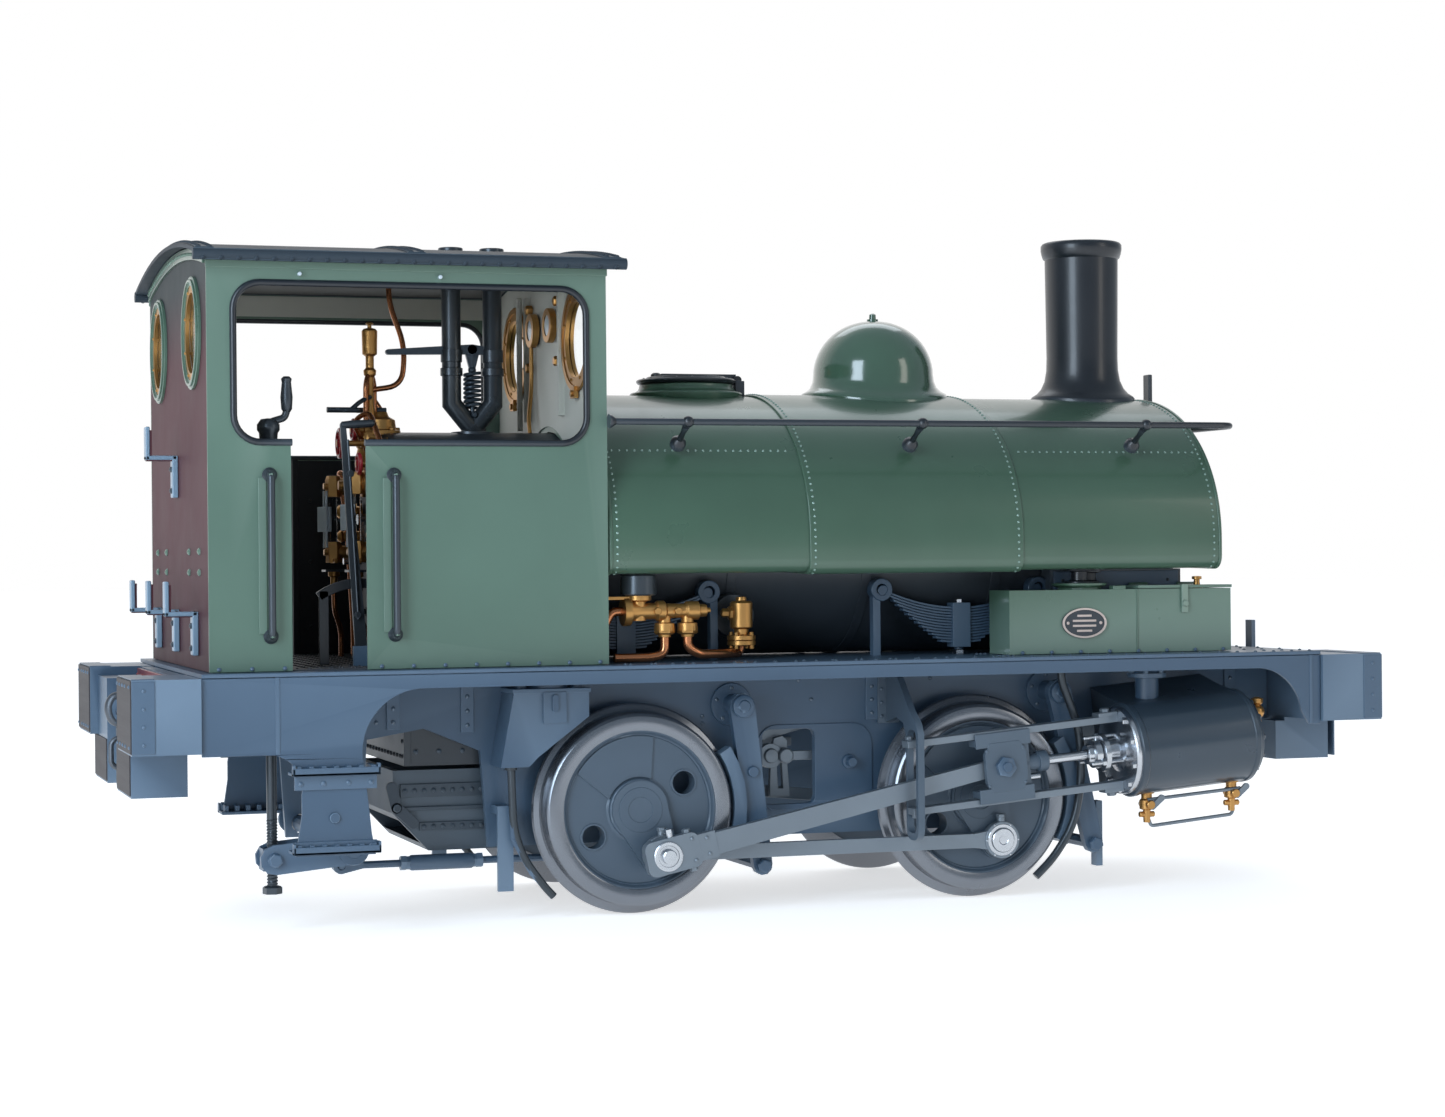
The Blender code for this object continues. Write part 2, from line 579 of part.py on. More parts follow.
def rods():
    for word, side in SIDES.items():
        rear, front = crank_pin(word, REAR_X), crank_pin(word, FRONT_X)
        y = on(side, *COUPLING_Y)
        thick = on(side, COUPLING_Y[0] + 0.6, COUPLING_Y[1] - 0.6)
        shapes = [block((rear[0], front[0]), thick, (rear[1] - 3, rear[1] + 3))]
        cuts = []
        for x, z in (rear, front):
            shapes.append(drum((x, y[0], z), (0, side, 0), 4.0, 8.0, 14))
            shapes.append(drum((x, side * 74.8, z + 7), (0, 0, 1), 3.4, 1.8, 6))
            cuts.append(drum((x, side * 70, z), (0, side, 0), 10, PIN_R + 0.3, 14))
        solid(f"coupling_rod_{word}", STEEL, shapes, cuts, pivot=(rear[0], 0, rear[1]))

        big = Vector(rear)
        small = Vector(engine_line(gudgeon_s(word)))
        way = (small - big).normalized()
        across = Vector((-way.y, way.x))
        taper = [big + way * 8 + across * 4.6, small + across * 3.4]
        taper += [small - across * 3.4, big + way * 8 - across * 4.6]
        y = on(side, CONROD_Y[0] + 0.4, CONROD_Y[1] - 0.4)
        shapes = [prism([tuple(point) for point in taper], "Y", *y)]
        head = [big - way * 8 + across * 6, big + way * 11 + across * 7, big + way * 15 + across * 4]
        head += [big + way * 15 - across * 4, big + way * 11 - across * 7, big - way * 8 - across * 6]
        shapes.append(prism([tuple(point) for point in head], "Y", *on(side, *CONROD_Y)))
        shapes.append(drum((big.x, side * CONROD_Y[1] - side * 0.2, big.y), (0, side, 0), 3.2, 5.4, 12))
        shapes.append(drum((small.x, side * CONROD_Y[0], small.y), (0, side, 0), 5.0, 5.6, 12))
        cuts = [drum((small.x, side * 70, small.y), (0, side, 0), 20, 2.9, 12)]
        solid(f"connecting_rod_{word}", STEEL, shapes, cuts, pivot=(small.x, 0, small.y))


def crossheads():
    inner, outer = BAR_Y
    for word, side in SIDES.items():
        s = gudgeon_s(word)
        x = REAR_X + s
        lip = BAR_H[0] - GAP
        cheek = rounded((x - 12.3, x + 12.5), (AXLE_Z - lip, AXLE_Z + lip), 2.0, 2)
        shapes = [prism(cheek, "Y", *on(side, outer - 1.0, outer + 1.6))]
        for hand in (-1, 1):
            z = sorted((AXLE_Z + hand * (lip - 2.6), AXLE_Z + hand * lip))
            shapes.append(block((x - 12.3, x + 12.5), on(side, inner + 0.2, outer - 0.5), z))
        shapes.append(block((x + 9.0, x + 12.5), on(side, inner + 0.2, outer), (AXLE_Z - lip, AXLE_Z + lip)))
        shapes.append(drum((x, side * (inner + 0.4), AXLE_Z), (0, side, 0), 7.4, 2.6, 8))
        shapes.append(drum((x, side * (outer + 1.4), AXLE_Z), (0, side, 0), 2.6, 4.6, 6))
        shapes.append(drum((x + 12, side * CYLINDER_Y, AXLE_Z), (1, 0, 0), 8, 4.2, 8))
        reach = 89.5
        shapes.append(drum((x + 14, side * CYLINDER_Y, AXLE_Z), (1, 0, 0), reach - 10, PISTON_ROD_R, 8))
        shapes.append(drum((x + reach, side * CYLINDER_Y, AXLE_Z), (1, 0, 0), 8, BORE_R - 0.3, 14))
        at = engine_line(s)
        solid(f"crosshead_{word}", STEEL, [tilted(bm) for bm in shapes], pivot=(at[0], 0, at[1]))


def cylinders():
    start, end = (REAR_X + s for s in CYLINDER_S)
    for word, side in SIDES.items():
        y = side * CYLINDER_Y
        barrel = turned((start, y, AXLE_Z), (1, 0, 0), [
            (-19, 4.2), (-15, 6.2), (-3.4, 7.2), (-3.4, 19.6), (0, 19.6), (0, CYLINDER_R),
            (end - start, CYLINDER_R), (end - start, 19.4), (end - start + 2.6, 18.6)], 24)
        chest = [(side * 52.4, AXLE_Z + 26.5), (y, AXLE_Z + 20.4)]
        chest += [(y, AXLE_Z - 20.4), (side * 52.4, AXLE_Z - 20.4)]
        shapes = [barrel, prism(chest, "X", start + 0.4, end - 0.4)]
        cuts = [
            drum((start + 2.6, y, AXLE_Z), (1, 0, 0), end - start - 4.6, BORE_R, 16),
            drum((start - 25, y, AXLE_Z), (1, 0, 0), 40, PISTON_ROD_R + 0.3, 8),
        ]
        shapes = [tilted(bm) for bm in shapes]
        top = PLATE_TOP - PLATE_THICK - GAP
        shapes.append(drum((172.0, side * 76, 78), (0, 0, 1), top - 78, 5.4, 12))
        solid(f"cylinder_{word}", BLACK, shapes, [tilted(bm) for bm in cuts])

        far = start - 3.7
        near = REAR_X + 117.0
        shapes = []
        for hand in (-1, 1):
            z = sorted((AXLE_Z + hand * BAR_H[0], AXLE_Z + hand * BAR_H[1]))
            shapes.append(tilted(block((near, far), on(side, *BAR_Y), z)))
        x = (56.0, 59.0)
        shapes.append(block(x, on(side, 77.1, 78.9), (28.0, 98.0)))
        shapes.append(block(x, on(side, 87.0, 90.0), (28.0, 98.0)))
        shapes.append(block(x, on(side, 77.1, 90.0), (28.0, 32.0)))
        shapes.append(block(x, on(side, 52.3, 90.0), (82.0, 98.0)))
        shapes.append(block((53.0, 62.0), on(side, 52.3, 54.6), (77.0, 98.0)))
        for hand in (-1, 1):
            z = sorted((AXLE_Z + hand * (BAR_H[0] + 0.4), AXLE_Z + hand * (BAR_H[1] + 1)))
            shapes.append(tilted(block((near + 0.5, near + 3.8), on(side, 84.6, 88.5), z)))
        solid(f"slide_bars_{word}", SLATE, shapes)


# --- fittings --------------------------------------------------------------------------------------

def fittings():
    low = BOILER_Z + BOILER_R + GAP
    mid = sum(SAFETY_X) / 2
    shapes = [turned((mid, 0, low - 2), (0, 0, 1), [(0, 9), (6, 9), (7, 6), (12, 5)], 12)]
    for x in SAFETY_X:
        shapes.append(rod([(mid, 0, low + 6), (x, 0, low + 18), (x, 0, 285.5)], SAFETY_PIPE_R, 12))
        shapes.append(drum((x, 0, 238), (0, 0, 1), 3, 4.4, 8))
    shapes.append(block((SAFETY_X[0] - 28, SAFETY_X[1]), (-1.2, 1.2), (239.0, 242.0)))
    cut = drum((-160, 0, BOILER_Z), (1, 0, 0), 100, BOILER_R + 0.7, 40)
    solid("safety_valves", BLACK, shapes, [cut])

    back = FIREBOX_REAR - GAP
    shapes = [block((back - 5, back), (-34, 34), (180.0, 186.0))]
    for y in (-27, 27):
        shapes.append(drum((back - 4, y, 183), (-1, 0, 0), 14, 2.4, 8))
        shapes.append(block((back - 19, back - 12), (y - 3.5, y + 3.5), (150.0, 187.0)))
        shapes.append(drum((back, y, 154), (-1, 0, 0), 14, 2.4, 8))
    for y in (-14, 14):
        shapes.append(drum((back - 4, y, 184), (0, 0, 1), 11, 2.0, 8))
        shapes.append(drum((back - 5, y, 194), (-1, 0, 0), 2, 6.0, 8))
        shapes.append(drum((back - 1, y, 194), (-1, 0, 0), 5, 1.6, 6))
    shapes.append(drum((back - 3, 0, 184), (0, 0, 1), 48, 2.0, 8))
    shapes.append(drum((back - 3, 0, 228), (0, 0, 1), 12, 3.4, 8))
    solid("backhead_fittings", BRASS, shapes)

    for word, side in SIDES.items():
        y = side * 76
        shapes = [drum((-70.0, y, 128.0), (1, 0, 0), 36, 3.6, 8)]
        shapes.append(drum((-70.8, y, 128.0), (1, 0, 0), 3.9, 6.4, 8))
        shapes.append(drum((-63.4, y, 126), (0, 0, 1), 12.6, 3.1, 8))
        for x in (-52.0, -42.0):
            shapes.append(rod([(x, y, 126.2), (x, y, PLATE_TOP + GAP)], 2.2, 8))
            shapes.append(drum((x, y, 118), (0, 0, 1), 2.5, 4.5, 8))
        pipe = [(-43, y, 110.4), (-22, y, 110.4), (-12.6, side * 57.3, 110.4), (-12.6, side * 57, 120)]
        shapes.append(rod(pipe, 1.8, 8))
        shapes.append(drum((-12.6, side * 57, 112), (0, 0, 1), 18, 4.2, 8))
        shapes.append(drum((-12.6, side * 56.4, 125.6), (0, -side, 0), 20, 2.7, 8))
        cut = drum((-90, 0, BOILER_Z), (1, 0, 0), 120, BOILER_R + 0.7, 40)
        solid(f"injector_{word}", BRASS, shapes, [cut])


def doors_and_lids():
    front = SMOKEBOX_X[1] + GAP
    hinge = (front + 3.0, 44.5)
    dish = [(0, 0), (0, 40), (2, 40), (5, 28), (7, 0)]
    shapes = [turned((front, 0, BOILER_Z), (1, 0, 0), dish, 24)]
    for z in (BOILER_Z + 16, BOILER_Z - 16):
        shapes.append(block((front + 1.6, front + 5.4), (4, 43), (z - 2, z + 2)))
        shapes.append(drum((hinge[0], hinge[1], z - 3), (0, 0, 1), 6, 2.2, 8))
    dart = drum((front - 1, 0, BOILER_Z), (1, 0, 0), 20, 3.0, 8)
    solid("smokebox_door", BLACK, shapes, [dart], pivot=(hinge[0], hinge[1], BOILER_Z))
    shapes = [drum((front - 22, 0, BOILER_Z), (1, 0, 0), 36, 2.6, 8)]
    shapes.append(drum((front + 7.4, 0, BOILER_Z), (1, 0, 0), 2.2, 4.6, 12))
    shapes.append(rod([(front + 11, 0, BOILER_Z), (front + 12, -7, BOILER_Z - 14)], 1.3, 8))
    shapes.append(block((front - 21, front - 18), (-2.2, 2.2), (BOILER_Z - 8, BOILER_Z + 8)))
    solid("smokebox_dart", STEEL, shapes, pivot=(front, 0, BOILER_Z))

    back = FIREBOX_REAR - GAP
    door = [drum((back, 0, 128), (-1, 0, 0), 3, 15.5, 16)]
    door.append(block((back - 4.5, back - 2.5), (-18, 12), (126, 130)))
    door.append(drum((back - 2.5, -17.5, 121), (0, 0, 1), 14, 1.8, 6))
    door.append(rod([(back - 2, 11, 128), (back - 9, 11, 128)], 1.3, 8))
    solid("firehole_door", BLACK, door, pivot=(back - 2.5, -17.5, 128))

    base = TANK_TOP + 5.2 + GAP
    crown = [(0, 0), (0, 22.4), (1.6, 22.4), (2.6, 14), (3.8, 6), (4, 0)]
    lid = turned((FILLER_X, 0, base), (0, 0, 1), crown, 20)
    hinge = drum((FILLER_X + 23.0, -5, base + 1.6), (0, 1, 0), 10, 1.6, 8)
    strap = block((FILLER_X - 10, FILLER_X + 23), (-2.5, 2.5), (base + 0.6, base + 3.0))
    solid("filler_lid", BLACK, [lid, hinge, strap], pivot=(FILLER_X + 23.0, 0, base + 1.6))


def cab_controls():
    back = FIREBOX_REAR - GAP
    shapes = [drum((back, 0, 168), (-1, 0, 0), 10, 2.4, 8)]
    shapes.append(prism(arc((0, 168), 2.6, 0, 180, 6) + [(-2.0, 168), (-1.2, 149), (1.2, 149), (2.0, 168)],
                        "X", back - 9, back - 7))
    shapes.append(rod([(back - 8, 0, 150), (back - 16, 0, 150)], 1.5, 8))
    solid("regulator_handle", STEEL, shapes, pivot=(back, 0, 168))

    x, y, z = LEVER_PIVOT
    lever = link((x, z), (x - 7, z + 93), 3.5, 1.6, (y - 1, y + 1), 6)
    shapes = [lever, rod([(x - 7, y, z + 91), (x - 7.6, y, z + 102)], 1.8, 8)]
    solid("reversing_lever", STEEL, shapes, [drum((x, y - 4, z), (0, 1, 0), 8, 1.4, 8)], pivot=LEVER_PIVOT)

    shaft = (38.0, 84.0)
    shapes = [drum((shaft[0], -47.5, shaft[1]), (0, 1, 0), 95, 3.2, 10)]
    for y in (-28, 28):
        shapes.append(link(shaft, (16.0, 80.0), 5.0, 3.2, (y - 1.5, y + 1.5), 6))
    solid("weighshaft", SLATE, shapes, pivot=(shaft[0], 0, shaft[1]))


def brake():
    x, y = BRAKE_X, BRAKE_Y
    bottom = PLATE_TOP + GAP
    profile = [(bottom, 9), (bottom + 2, 9), (bottom + 3, 4.4), (188, 4.0), (194, 7.4), (198, 8.2)]
    column = turned((x, y, 0), (0, 0, 1), profile, 14)
    solid("brake_column", BLACK, [column], [drum((x, y, 90), (0, 0, 1), 130, 2.8, 10)])
    shapes = [drum((x, y, 18.6), (0, 0, 1), 190, 2.4, 8)]
    shapes.append(drum((x, y, 15.6), (0, 0, 1), 4.0, 4.2, 6))
    shapes.append(drum((x, y, 198.4), (0, 0, 1), 5, 3.8, 10))
    shapes.append(rod([(x, y, 206), (x + 7.5, y, 209)], 2.4, 8))
    shapes.append(rod([(x + 7.5, y, 207), (x + 7.5, y, 224)], 1.8, 8))
    solid("brake_screw", STEEL, shapes, pivot=(x, y, 18.6))

    sx, sz = BRAKE_SHAFT
    shapes = [drum((sx, -74, sz), (0, 1, 0), 148, 4.0, 12)]
    nut = (x, sz - 3.0)
    for cheek in ((y - 7.6, y - 5.2), (y + 5.2, y + 7.6)):
        shapes.append(link(nut, (sx, sz), 6.0, 6.0, cheek))
    shapes.append(block((x - 4.5, x + 4.5), (y - 5.6, y + 5.6), (nut[1] - 4.5, nut[1] + 4.5)))
    shapes.append(link((sx, sz), (sx, BRAKE_PULL_Z), 5.6, 3.2, (BRAKE_PULL_Y + 3.4, BRAKE_PULL_Y + 6.0)))
    shapes.append(drum((sx, BRAKE_PULL_Y - 2.6, BRAKE_PULL_Z), (0, 1, 0), 7.0, 1.4, 6))
    solid("brake_shaft", SLATE, shapes, [drum((x, y, 0), (0, 0, 1), 70, 3.4, 10)], pivot=(sx, 0, sz))

    y, z = BRAKE_PULL_Y, BRAKE_PULL_Z
    shapes = [rod([(sx + 2.6, y, z), (146.0, y, z)], 1.6, 8)]
    shapes.append(link((sx, z), (sx + 8, z), 3.4, 1.6, (y - 1.6, y + 1.6), 8))
    shapes.append(drum((-157, y, z), (1, 0, 0), 31, 3.0, 6))
    solid("brake_pull_rod", SLATE, shapes, [drum((sx, y - 5, z), (0, 1, 0), 10, 1.8, 8)], pivot=(sx, y, z))

    for word, (pivot, foot, axle) in HANGERS.items():
        shapes = [drum((foot[0], -69, foot[1]), (0, 1, 0), 138, 2.6, 8)]
        cuts = []
        for side in SIDES.values():
            shapes.append(link(pivot, foot, 5.6, 4.2, on(side, 64.0, 68.0)))
            shoe = arc((axle, AXLE_Z), TREAD_R + 6.8, 32, -28, 6)
            shoe += arc((axle, AXLE_Z), TREAD_R + 1.3, -28, 32, 8)
            shapes.append(prism(shoe, "Y", *on(side, 63.2, 70.6)))
            cuts.append(drum((pivot[0], side * 60, pivot[1]), (0, side, 0), 12, 3.5, 10))
        solid(f"brake_hangers_{word}", SLATE, shapes, cuts, pivot=(pivot[0], 0, pivot[1]))


def build():
    clear_scene()
    frames()
    buffer_beams()
    running_plate()
    valances()
    cab()
    boiler_and_tank()
    handrail()
    front_boxes()
    springs()
    ashpan()
    wheelsets()
    rods()
    crossheads()
    cylinders()
    fittings()
    doors_and_lids()
    cab_controls()
    brake()


build()
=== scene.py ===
"""Looks for a 5 inch gauge live steam saddle tank engine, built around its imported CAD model.

Shapes are in millimetres, in the CAD model's own frame: +X is the chimney end, +Y the engine's left
side, +Z up.  They become metres as each mesh is made.  The stage and the materials are in metres.
"""

import math

import bmesh
import bpy
from mathutils import Matrix, Vector


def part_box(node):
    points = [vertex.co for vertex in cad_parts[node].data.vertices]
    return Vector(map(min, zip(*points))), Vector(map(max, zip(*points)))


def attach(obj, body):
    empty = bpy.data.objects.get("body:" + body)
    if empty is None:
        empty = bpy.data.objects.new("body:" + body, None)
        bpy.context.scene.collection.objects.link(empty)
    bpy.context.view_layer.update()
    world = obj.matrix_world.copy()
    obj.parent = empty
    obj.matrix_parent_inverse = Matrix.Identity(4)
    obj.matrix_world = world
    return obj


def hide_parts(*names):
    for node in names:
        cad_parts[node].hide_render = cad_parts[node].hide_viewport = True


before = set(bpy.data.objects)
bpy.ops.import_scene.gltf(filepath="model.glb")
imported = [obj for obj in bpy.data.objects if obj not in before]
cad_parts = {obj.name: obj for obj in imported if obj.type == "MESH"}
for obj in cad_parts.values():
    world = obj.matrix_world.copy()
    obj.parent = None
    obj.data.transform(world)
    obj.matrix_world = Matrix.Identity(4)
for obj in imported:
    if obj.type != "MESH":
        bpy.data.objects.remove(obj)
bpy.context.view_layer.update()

SIDES = {"right": -1, "left": 1}
UP, DOWN = (0, 0, 1), (0, 0, -1)
AHEAD, BEHIND = (1, 0, 0), (-1, 0, 0)
ACROSS = (0, 1, 0)


def span(node):
    """The lowest and highest corners of a CAD node."""
    low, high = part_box(node)
    return Vector(low) * 1000, Vector(high) * 1000


TANK_LOW, TANK_HIGH = span("saddle_tank")
PLATE_LOW, PLATE_HIGH = span("running_plate")
CAB_LOW, CAB_HIGH = span("cab_side_right")
ROOF_LOW, ROOF_HIGH = span("cab_roof")
BOILER_LOW = span("boiler")[0]
SMOKE_LOW, SMOKE_HIGH = span("smokebox")
REAR_BEAM_LOW, REAR_BEAM_HIGH = span("rear_buffer_beam")
FRONT_BEAM_LOW, FRONT_BEAM_HIGH = span("front_buffer_beam")

AXLE_Z = sum(corner.z for corner in span("front_axle")) / 2
REAR_X = sum(corner.x for corner in span("rear_wheel_right")) / 2
FRONT_X = sum(corner.x for corner in span("front_wheel_right")) / 2
FLANGE_R = AXLE_Z
WHEEL_BACK = 59.3
THROW = 20.3
CRANK_DEG = {"right": -66.5, "left": 23.5}
ROD_LENGTH = 155.3
SLOPE_DEG = 5.05
CYLINDER_Y = 82.5
CYLINDER_S = (220.4, 276.6)
PLATE_Z = 106.4
BOILER_Z = 156.2
BOILER_R = 49.5
TANK_TOP = 222.5
TANK_BOTTOM = TANK_LOW.z
TANK_HALF = TANK_HIGH.y
TANK_REAR = TANK_LOW.x
TANK_FRONT = 203.0
TANK_WAIST = 156.0
TANK_POWER = 2.1
ROOF_CREST = ROOF_HIGH.z
ROOF_RADIUS = 517.0
CAB_FACE = 89.8
WINDOW_Y = 52.5
WINDOW_Z = 243.2
WINDOW_R = 20.0
DOOR = (-210.9, -180.7)
BRAKE_COLUMN = (-215.9, -66.0)
REVERSER = (-177.0, -58.0)
HANGER_PINS = {"rear": (-15.0, 86.8), "front": (133.3, 89.3)}
INJECTOR_Y = 76.0
CLACK_X = -12.6
DOME_X = 72.6
CHIMNEY_X = 178.2
FILLER_X = -17.5
LAPS = (8.5, 107.0)
SAFETY_X = (-124.9, -106.5)


# --- materials -------------------------------------------------------------------------------------

def nodes_of(name):
    """A new material with its nodes, links and main shader."""
    made = bpy.data.materials.new(name)
    made.use_nodes = True
    tree = made.node_tree
    return made, tree.nodes, tree.links, tree.nodes["Principled BSDF"]


def noise(nodes, links, scale, detail=3.0, stretch=(1, 1, 1)):
    """A noise texture in the object's own coordinates, drawn out along an axis by stretch."""
    coords = nodes.new("ShaderNodeTexCoord")
    mapping = nodes.new("ShaderNodeMapping")
    mapping.inputs["Scale"].default_value = stretch
    texture = nodes.new("ShaderNodeTexNoise")
    texture.inputs["Scale"].default_value = scale
    texture.inputs["Detail"].default_value = detail
    links.new(coords.outputs["Object"], mapping.inputs["Vector"])
    links.new(mapping.outputs["Vector"], texture.inputs["Vector"])
    return texture


def ramp(nodes, links, source, stops):
    """A colour ramp through (place, colour) stops."""
    made = nodes.new("ShaderNodeValToRGB")
    while len(made.color_ramp.elements) < len(stops):
        made.color_ramp.elements.new(0.5)
    for element, (place, colour) in zip(made.color_ramp.elements, stops):
        element.position = place
        element.color = (*colour, 1.0)
    links.new(source, made.inputs["Fac"])
    return made


def spread(nodes, links, source, low, high):
    """Maps the middle of a noise texture's values onto a range."""
    made = nodes.new("ShaderNodeMapRange")
    made.inputs["To Min"].default_value = low
    made.inputs["To Max"].default_value = high
    made.inputs["From Min"].default_value = 0.3
    made.inputs["From Max"].default_value = 0.7
    links.new(source, made.inputs["Value"])
    return made


def surface(name, colour, roughness, metallic=0.0, grain=900.0, bump=0.04, tone=0.07, stretch=(1, 1, 1),
            coat=0.0, worn=None, specular=0.5):
    """A finish with drifting tone, uneven gloss, fine surface grain and, on paint, worn edges."""
    made, nodes, links, shader = nodes_of(name)
    drift = noise(nodes, links, 22.0, 4.0)
    darker = tuple(c * (1 - tone) for c in colour)
    lighter = tuple(min(1.0, c * (1 + tone)) for c in colour)
    tint = ramp(nodes, links, drift.outputs["Fac"], [(0.3, darker), (0.7, lighter)])
    paint = tint.outputs["Color"]
    if worn:
        geometry = nodes.new("ShaderNodeNewGeometry")
        edge = nodes.new("ShaderNodeMapRange")
        edge.inputs["From Min"].default_value = 0.54
        edge.inputs["From Max"].default_value = 0.66
        links.new(geometry.outputs["Pointiness"], edge.inputs["Value"])
        mix = nodes.new("ShaderNodeMix")
        mix.data_type = "RGBA"
        mix.inputs["B"].default_value = (*worn, 1.0)
        links.new(edge.outputs["Result"], mix.inputs["Factor"])
        links.new(paint, mix.inputs["A"])
        paint = mix.outputs["Result"]
    links.new(paint, shader.inputs["Base Color"])
    gloss = noise(nodes, links, 60.0, 5.0, stretch)
    gloss_range = spread(nodes, links, gloss.outputs["Fac"], max(0.03, roughness - 0.03), roughness + 0.03)
    links.new(gloss_range.outputs["Result"], shader.inputs["Roughness"])
    shader.inputs["Metallic"].default_value = metallic
    shader.inputs["Specular IOR Level"].default_value = specular
    shader.inputs["Coat Weight"].default_value = coat
    shader.inputs["Coat Roughness"].default_value = 0.12
    fine = noise(nodes, links, grain, 2.0, stretch)
    lift = nodes.new("ShaderNodeBump")
    lift.inputs["Strength"].default_value = bump
    lift.inputs["Distance"].default_value = 0.0004
    links.new(fine.outputs["Fac"], lift.inputs["Height"])
    links.new(lift.outputs["Normal"], shader.inputs["Normal"])
    return made


def sheet_paint(name, low, high, stops, roughness):
    """Colour that changes along Z between two heights, over the usual tone and grain; the rear sheet's
    painted reflection is made this way.
    """
    made = surface(name, (0.5, 0.5, 0.5), roughness, specular=0.06)
    nodes, links = made.node_tree.nodes, made.node_tree.links
    shader = nodes["Principled BSDF"]
    coords = nodes.new("ShaderNodeTexCoord")
    split = nodes.new("ShaderNodeSeparateXYZ")
    height = nodes.new("ShaderNodeMapRange")
    height.inputs["From Min"].default_value = low / 1000
    height.inputs["From Max"].default_value = high / 1000
    links.new(coords.outputs["Object"], split.inputs["Vector"])
    links.new(split.outputs["Z"], height.inputs["Value"])
    fade = ramp(nodes, links, height.outputs["Result"], stops)
    mix = nodes.new("ShaderNodeMix")
    mix.data_type = "RGBA"
    mix.blend_type = "OVERLAY"
    mix.inputs["Factor"].default_value = 0.5
    links.new(fade.outputs["Color"], mix.inputs["A"])
    drift = noise(nodes, links, 30.0, 4.0)
    soft = ramp(nodes, links, drift.outputs["Fac"], [(0.3, (0.42, 0.42, 0.42)), (0.7, (0.58, 0.58, 0.58))])
    links.new(soft.outputs["Color"], mix.inputs["B"])
    links.new(mix.outputs["Result"], shader.inputs["Base Color"])
    return made


def glass(name):
    """Clear glass with a slight smear."""
    made, nodes, links, shader = nodes_of(name)
    smear = noise(nodes, links, 90.0, 4.0)
    haze = spread(nodes, links, smear.outputs["Fac"], 0.02, 0.10)
    links.new(haze.outputs["Result"], shader.inputs["Roughness"])
    shader.inputs["Base Color"].default_value = (0.93, 0.96, 0.97, 1.0)
    shader.inputs["Transmission Weight"].default_value = 1.0
    shader.inputs["IOR"].default_value = 1.05
    return made


GREEN = surface("tank_green", (0.052, 0.105, 0.068), 0.30, coat=0.35, worn=(0.16, 0.24, 0.19))
CAB_GREEN = surface("cab_green", (0.085, 0.150, 0.112), 0.40, coat=0.2, worn=(0.20, 0.27, 0.22))
SLATE = surface("slate_blue", (0.050, 0.090, 0.143), 0.42, coat=0.1, worn=(0.13, 0.19, 0.26))
BLACK = surface("satin_black", (0.009, 0.012, 0.017), 0.34, coat=0.15, worn=(0.07, 0.09, 0.11))
ROOF_BLACK = surface("roof_black", (0.012, 0.016, 0.022), 0.5, worn=(0.06, 0.08, 0.10), specular=0.12)
# Lighter than the satin black: painted fill light on the boiler barrel, which sits in shade under the tank.
BOILER_BLACK_FILL = surface("boiler_black_painted_fill", (0.030, 0.038, 0.047), 0.4, coat=0.1)
DOME_GREEN = surface("dome_green", (0.052, 0.105, 0.068), 0.16, coat=1.0)
# Black for soot on the vent, the backhead and the firehole door, and painted shade on the cab sides' lower
# inner lining.
SOOT_AND_SHADE = surface("soot_and_painted_shade_black", (0.012, 0.015, 0.020), 0.55)
PIPE_BLACK = surface("burnished_black", (0.05, 0.06, 0.07), 0.30, metallic=0.5)
STEEL = surface("bright_steel", (0.55, 0.57, 0.60), 0.24, metallic=1.0, grain=1400, stretch=(1, 6, 6),
                tone=0.08)
ROD_STEEL = surface("rod_steel", (0.20, 0.235, 0.27), 0.42, metallic=0.55, grain=1100, stretch=(0.5, 4, 4))
TYRE_STEEL = surface("tyre_steel", (0.21, 0.225, 0.25), 0.25, metallic=0.85, grain=1000)
BRASS = surface("cast_brass", (0.50, 0.265, 0.085), 0.34, metallic=0.85, grain=700, bump=0.12)
COPPER = surface("copper_pipe", (0.50, 0.20, 0.09), 0.24, metallic=0.95)
CREAM = surface("cream_lining", (0.50, 0.50, 0.44), 0.5)
RED = surface("handwheel_red", (0.38, 0.02, 0.03), 0.3, coat=0.4)
DECK = surface("black_deck", (0.03, 0.034, 0.042), 0.55, grain=500, bump=0.2)
WHITE_METAL = surface("gauge_guard", (0.62, 0.70, 0.76), 0.25, metallic=0.3)
LAMP_BLUE = surface("lamp_iron_blue", (0.16, 0.25, 0.34), 0.35, coat=0.2, worn=(0.3, 0.4, 0.48))
# The tank's rivet heads: a green much paler than the tank's paint, as painted highlight for the glints on
# their domes.
GREEN_STUD_HIGHLIGHT = surface("green_studs_painted_highlight", (0.22, 0.33, 0.28), 0.16, metallic=0.3, coat=0.6)
STUD_PALE = surface("pale_green_metal", (0.24, 0.32, 0.26), 0.3, metallic=0.3)
STUD_SLATE = surface("slate_studs", (0.075, 0.11, 0.15), 0.25, coat=0.4)
SOOT_SLATE = surface("ashpan_slate", (0.030, 0.045, 0.062), 0.45, worn=(0.09, 0.12, 0.15))
STEEL_DARK = surface("dark_steel", (0.10, 0.11, 0.125), 0.4, metallic=0.7)
BEAM_RED = surface("beam_red", (0.20, 0.030, 0.035), 0.4, coat=0.2)
# Dark brown for the rear buffer blocks' end faces: painted shade and reflection on faces turned away from the
# key light, where the front faces stay slate.
REAR_FACE_SHADE = surface("rear_block_face_painted_shade", (0.030, 0.025, 0.028), 0.6, grain=400, bump=0.3, stretch=(1, 0.15, 3))
WHEEL_SLATE = surface("wheel_slate", (0.070, 0.100, 0.135), 0.42, metallic=0.15, worn=(0.15, 0.19, 0.23))
